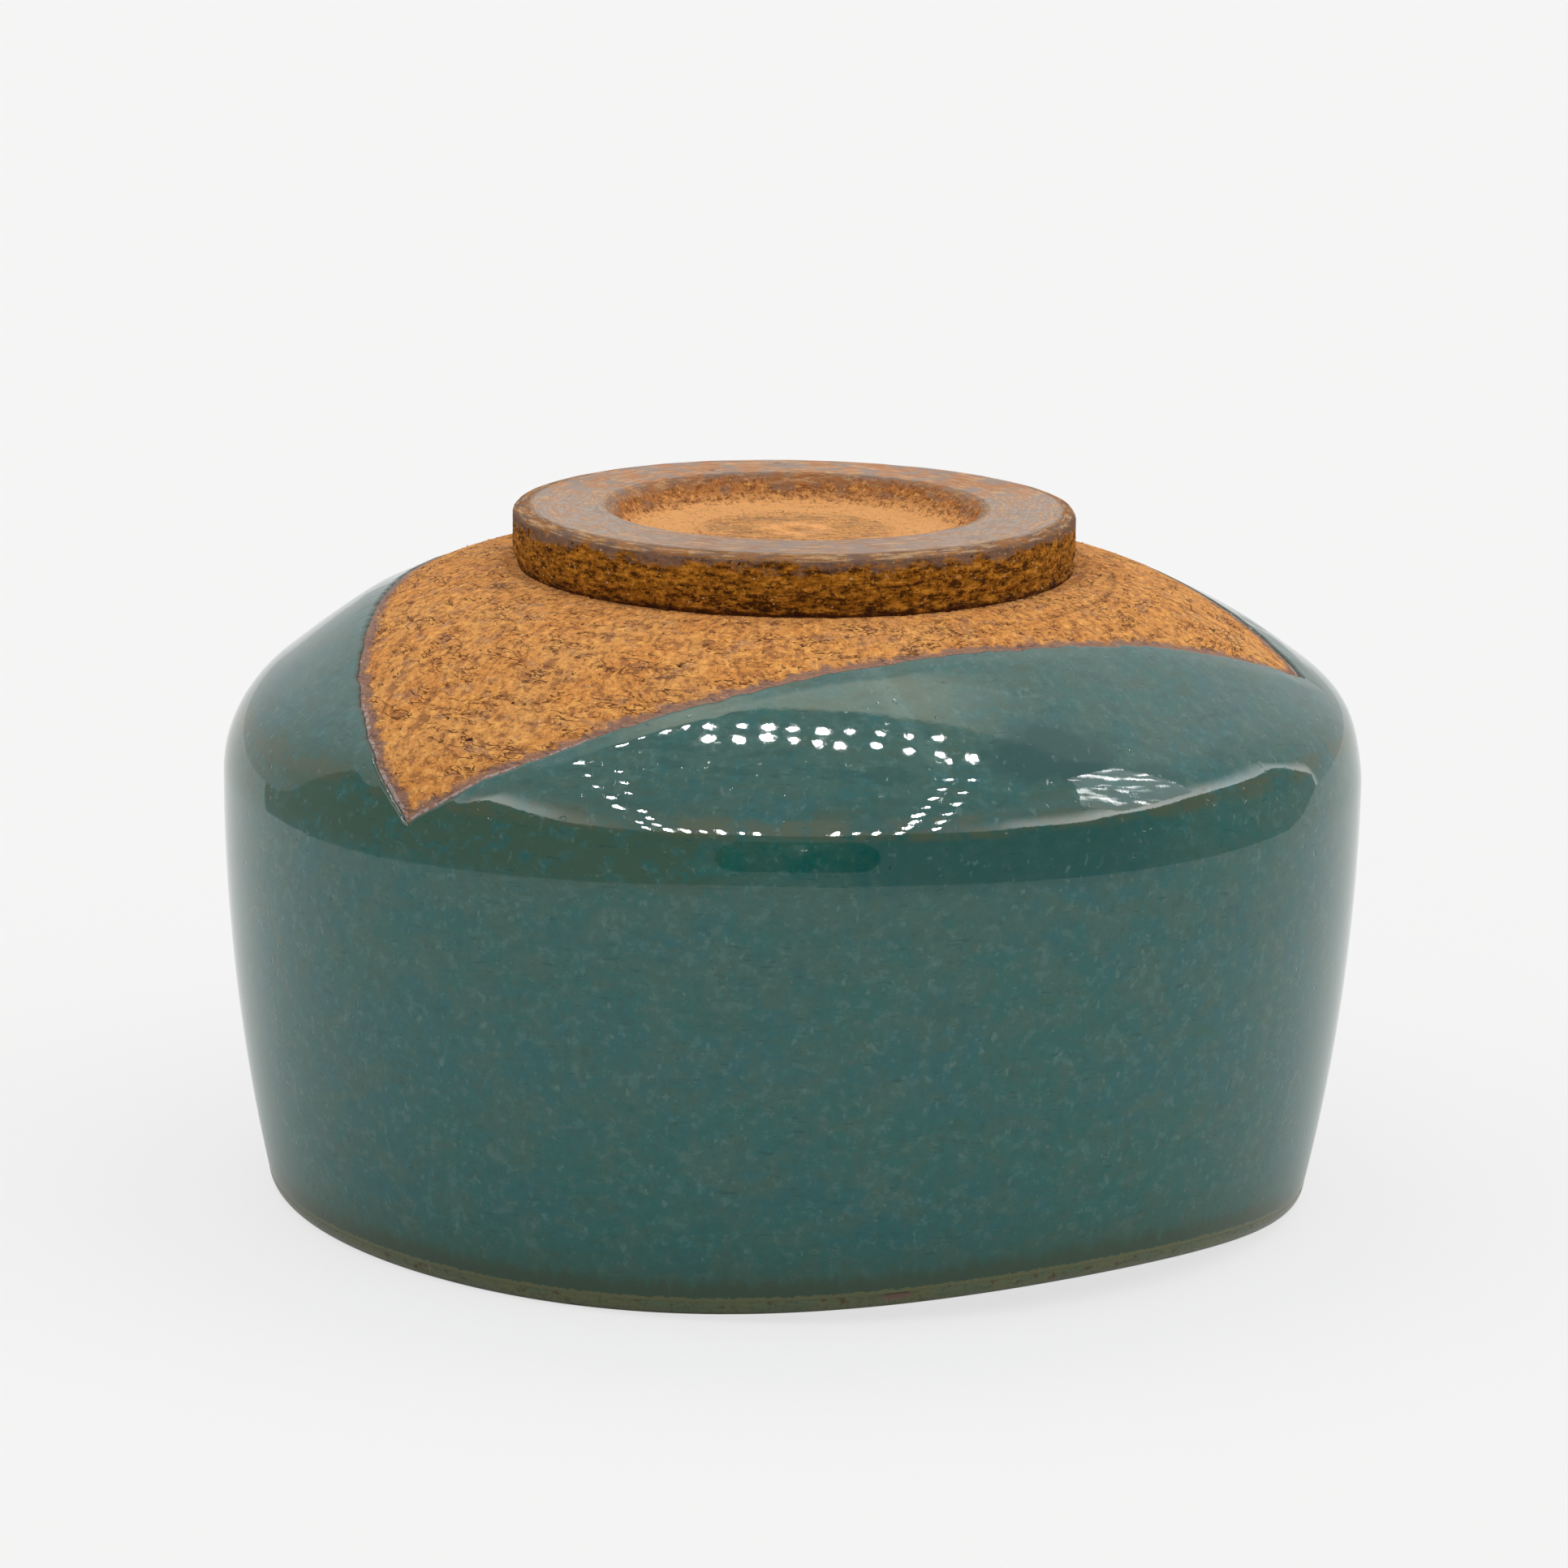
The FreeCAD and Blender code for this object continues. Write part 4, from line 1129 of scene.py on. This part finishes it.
    from_pool = vector_calc(tree, "SUBTRACT", position, POOL_CENTRE)
    from_pool = length(tree, vector_calc(tree, "DIVIDE", from_pool, POOL_HALF))
    near_pool = plus(tree, from_pool, times(tree, fog, 1.2))
    low = ragged(tree, above_lip, runs, 3.0)
    colour = layers(
        tree, colour,
        (GLAZE_DEEP, band(tree, near_pool, 1.80, 1.30), 0.95),
        (GLAZE_PALE, band(tree, specks, 0.62, 0.72), 0.50),
        (GLAZE_DEEP, band(tree, dashes, 0.65, 0.72), 0.75),
        (GLAZE_OLIVE, band(tree, low, 7.0, 2.0), 0.5),
        (GLAZE_SHADE, band(tree, low, 3.0, 1.2), 0.75),
        (LIP_OLIVE, band(tree, ragged(tree, above_lip, mottle, 0.8), 0.50, 0.36)),
        (GLAZE_RIM, band(tree, reach, 0.50, 0.10), 0.75))
    feed(tree, shader.inputs["Base Color"], colour)
    shader.inputs["Roughness"].default_value = 0.03
    slow = cloud(tree, position, 5.0, detail=2.0, shift=27.0)
    holes = band(tree, cloud(tree, position, 0.8, detail=0.0, shift=33.0), 0.22, 0.14)
    relief(tree, shader, (slow, 0.012), (mottle, 0.003), (holes, -0.03))
    return material


def coat_thickness(reach, turn):
    """How thick a coat is that far in from its free edge: a low step, lower behind, and a slope."""
    behind = np.clip((np.sin(turn) + 0.1) / 0.4, 0, 1)
    step = EDGE_STEP * (1 - 0.65 * behind)
    slope = np.clip(reach / (EDGE_SLOPE * (1 + 1.3 * behind)), 0, 1)
    edge = np.sqrt(1 - (1 - np.clip(reach / FREE_EDGE, 0, 1)) ** 2)
    return step * edge + (FULL_COAT - step) * slope ** 2 * (3 - 2 * slope)


def coat_reach(number, turn):
    """Where a dip's own coat begins and ends along the outside in those directions."""
    edges = dip_edges(turn)
    begins = np.max([lip_band(turn), *edges[:number]], axis=0)
    return begins, edges[number]


def coat_end(number, inside, outside):
    """The direction between those two in which a coat runs out to nothing."""
    for _ in range(40):
        middle = (inside + outside) / 2
        begins, ends = coat_reach(number, np.array([middle]))
        if ends[0] > begins[0]:
            inside = middle
        else:
            outside = middle
    return inside


def dip_coat(number, name):
    """One dip's coat as a closed shell, thin at its free edge and sunk a little into the clay."""
    begins, ends = coat_reach(number, all_round)
    covered = ends > begins
    first = int(np.argmax(covered & ~np.roll(covered, 1)))
    turn = np.roll(all_round, -first)
    turn = np.unwrap(turn[:int(covered.sum())])
    step = math.tau / TURNS
    turn = np.concatenate([[coat_end(number, turn[0], turn[0] - step)], turn,
                           [coat_end(number, turn[-1], turn[-1] + step)]])
    begins, ends = coat_reach(number, turn)
    ends = np.maximum(ends, begins)
    steps = np.minimum(EDGE_ROW * ROW_GROWTH ** np.arange(COAT_ROWS), WIDEST_ROW)
    shares = np.concatenate([[0], np.cumsum(steps)]) / steps.sum()
    outer = ends + (begins - ends) * shares[:, None]
    inner = begins + (ends - begins) * np.linspace(0, 1, 28)[:, None]
    outer_section, inner_section = on_outside(outer), on_outside(inner)
    base, normals = spin(outer_section, turn)
    reach = glaze_reach(base, normals, turn)
    tip = np.minimum(reach / 0.1, 1).clip(0)[..., None]
    out = coat_thickness(reach, turn) - GLAZE + stray(turn, outer)
    surface = base + normals * out[..., None]
    surface -= normals * SUNK * (1 - tip)
    back, back_normals = spin(inner_section, turn)
    back -= back_normals * (GLAZE + SUNK - stray(turn, inner))[..., None]
    along = np.concatenate([outer, inner])
    band_line = lip_band(turn)
    coat = skin(name, np.concatenate([surface, back]), {
        "turned": turned_place(turn, along),
        "reach": np.concatenate([reach, np.full(inner.shape, 5.0)]),
        "above_lip": along - band_line}, full_turn=False, loop=True)
    coat.data.materials.append(dipped_glaze)
    return coat


dipped_glaze = glaze_finish("dipped_glaze")
for number, node in enumerate(("first_dip_glaze", "second_dip_glaze", "third_dip_glaze")):
    coat = dip_coat(number, node.replace("_glaze", "_coat"))
    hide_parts(node)
    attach(coat, "root")


# ---- Glaze on the lip --------------------------------------------------------
# On the lip, which was wiped and then dipped, the same glaze drew thin. It fired olive over the
# dark clay, with rusty freckles, and it has been chipped in two places.

LIP_GREY = (0.085, 0.112, 0.058)
LIP_RUST = (0.065, 0.036, 0.011)
# painted shade: near-black under the lip where it meets the floor, and along the top of each chip
LIP_PAINTED_SHADE = (0.016, 0.013, 0.006)
CHIP_CLAY = (0.17, 0.108, 0.078)
# direction in degrees, half length, half height and depth of each chip
CHIPS = ((-78.6, 2.0, 0.80, 0.5), (-131.5, 0.8, 0.6, 0.25), (34.0, 0.8, 0.4, 0.3))


def lip_finish():
    """Thin olive glaze with rusty freckles, bare clay in the chips, and painted shade under the lip
    and along the chips' upper edges.
    """
    material, tree, shader = new_finish("lip_glaze")
    place, position = attribute(tree, "turned", "Vector"), own_place(tree)
    freckles = cloud(tree, place, (1 / 40, 1 / 40, 0.9), roughness=0.65, shift=5.0)
    fine = cloud(tree, position, 0.5, detail=2.0, roughness=0.65, shift=15.0)
    drift = cloud(tree, place, (1 / 9, 1 / 9, 3.0), shift=8.0)
    along = parts(tree, place)[2]
    # how far round the lip from its band, for the painted shade under it
    below = calc(tree, "SUBTRACT", times(tree, fine, 1.2), along)
    bare = band(tree, attribute(tree, "chip"), 0.10, 0.30)
    colour = layers(
        tree, LIP_OLIVE,
        (LIP_GREY, band(tree, drift, 0.42, 0.60)),
        (GLAZE_SHADE, band(tree, fine, 0.50, 0.66), 0.5),
        (LIP_RUST, band(tree, freckles, 0.58, 0.66), 0.9),
        # painted shade under the lip, where it meets the floor
        (LIP_PAINTED_SHADE, band(tree, below, 2.4, 3.2), 0.85),
        # bare clay in the chips, with painted shade along their upper edges
        (blend(tree, band(tree, along, -0.45, -0.15), CHIP_CLAY, LIP_PAINTED_SHADE), bare))
    feed(tree, shader.inputs["Base Color"], colour)
    feed(tree, shader.inputs["Roughness"], plus(tree, 0.12, times(tree, bare, 0.7)))
    relief(tree, shader, (freckles, 0.02))
    return material


lip_line = lip_section(all_round, 16)
points, normals = spin(lip_line, all_round)
along = run_along(lip_line)
chip = np.zeros(along.shape)
for degrees_at, half_length, half_height, depth in CHIPS:
    around = 52.0 * (np.mod(all_round - math.radians(degrees_at) + math.pi, math.tau) - math.pi)
    torn = np.array([1 + 0.5 * noise.noise(Vector((9 * a, depth, 3.0))) for a in around])
    hollow = 1 - (around / half_length / torn) ** 2 - ((along - 0.5) / half_height) ** 2
    chip = np.maximum(chip, np.clip(hollow, 0, 1) * depth)
dent = 0.6 * np.sqrt(chip)
surface = points - normals * dent[..., None]
back = points[::-3] - normals[::-3] * (GLAZE + SUNK)
lip = skin("lip_coat", np.concatenate([surface, back]), {
    "turned": turned_place(all_round, np.concatenate([-along, -along[::-3]])),
    "chip": np.concatenate([chip, np.zeros(back.shape[:2])])}, loop=True)
lip.data.materials.append(lip_finish())
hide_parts("lip_glaze")
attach(lip, "root")


# ---- Glaze inside ------------------------------------------------------------
# The inside was filled with the same glaze and poured out. It lies over the throwing spiral, and
# pooled deeper and bluer in the middle of the floor.

SPIRAL_PITCH, SPIRAL_DEPTH = 5.2, 0.14
POOL_BLUE = (0.018, 0.120, 0.135)


def inside_finish():
    """The dips' glaze, bluer where it pooled."""
    material, tree, shader = new_finish("inside_glaze")
    place, position = attribute(tree, "turned", "Vector"), own_place(tree)
    clouds = cloud(tree, position, 1.6, roughness=0.6, shift=4.0)
    mottle = cloud(tree, position, 0.55, detail=2.0, shift=9.0)
    runs = cloud(tree, place, (1 / 30, 1 / 30, 9.0), shift=13.0)
    colour = layers(
        tree, GLAZE_TEAL,
        (GLAZE_GREY, band(tree, runs, 0.40, 0.62)),
        (GLAZE_OLIVE, band(tree, clouds, 0.50, 0.64), 0.6),
        (GLAZE_DEEP, band(tree, mottle, 0.46, 0.34), 0.3),
        (POOL_BLUE, attribute(tree, "pool")))
    feed(tree, shader.inputs["Base Color"], colour)
    shader.inputs["Roughness"].default_value = 0.03
    relief(tree, shader, (mottle, 0.008))
    return material


hollow = hollow_section(all_round, 34, 24, 42)
points, normals = spin(hollow, all_round)
along = run_along(hollow)
winding = along / SPIRAL_PITCH - all_round / math.tau
swell = np.clip(along / 12, 0, 1) * np.clip((along[-1] - along) / 4, 0, 1)
throwing = SPIRAL_DEPTH * swell * (0.5 + 0.5 * np.cos(math.tau * winding))
surface = points - normals * throwing[..., None]
back = points[::-6] - normals[::-6] * (GLAZE + SUNK)
radius = hollow[..., 0]
start = lip_section(all_round, 6)[-1:]
edge_points, edge_normals = spin(start, all_round)
edge_back = edge_points - edge_normals * (GLAZE + SUNK)
pool = np.clip((16 - radius) / 10, 0, 1) * (hollow[..., 1] > 50)
inside = skin("inside_coat", np.concatenate([edge_points, surface, back, edge_back]), {
    "turned": turned_place(all_round, np.concatenate([along[:1], along, along[::-6],
                                                      along[:1]])),
    "pool": np.concatenate([pool[:1], pool, pool[::-6], pool[:1]])}, loop=True)
inside.data.materials.append(inside_finish())
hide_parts("inside_glaze")
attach(inside, "root")
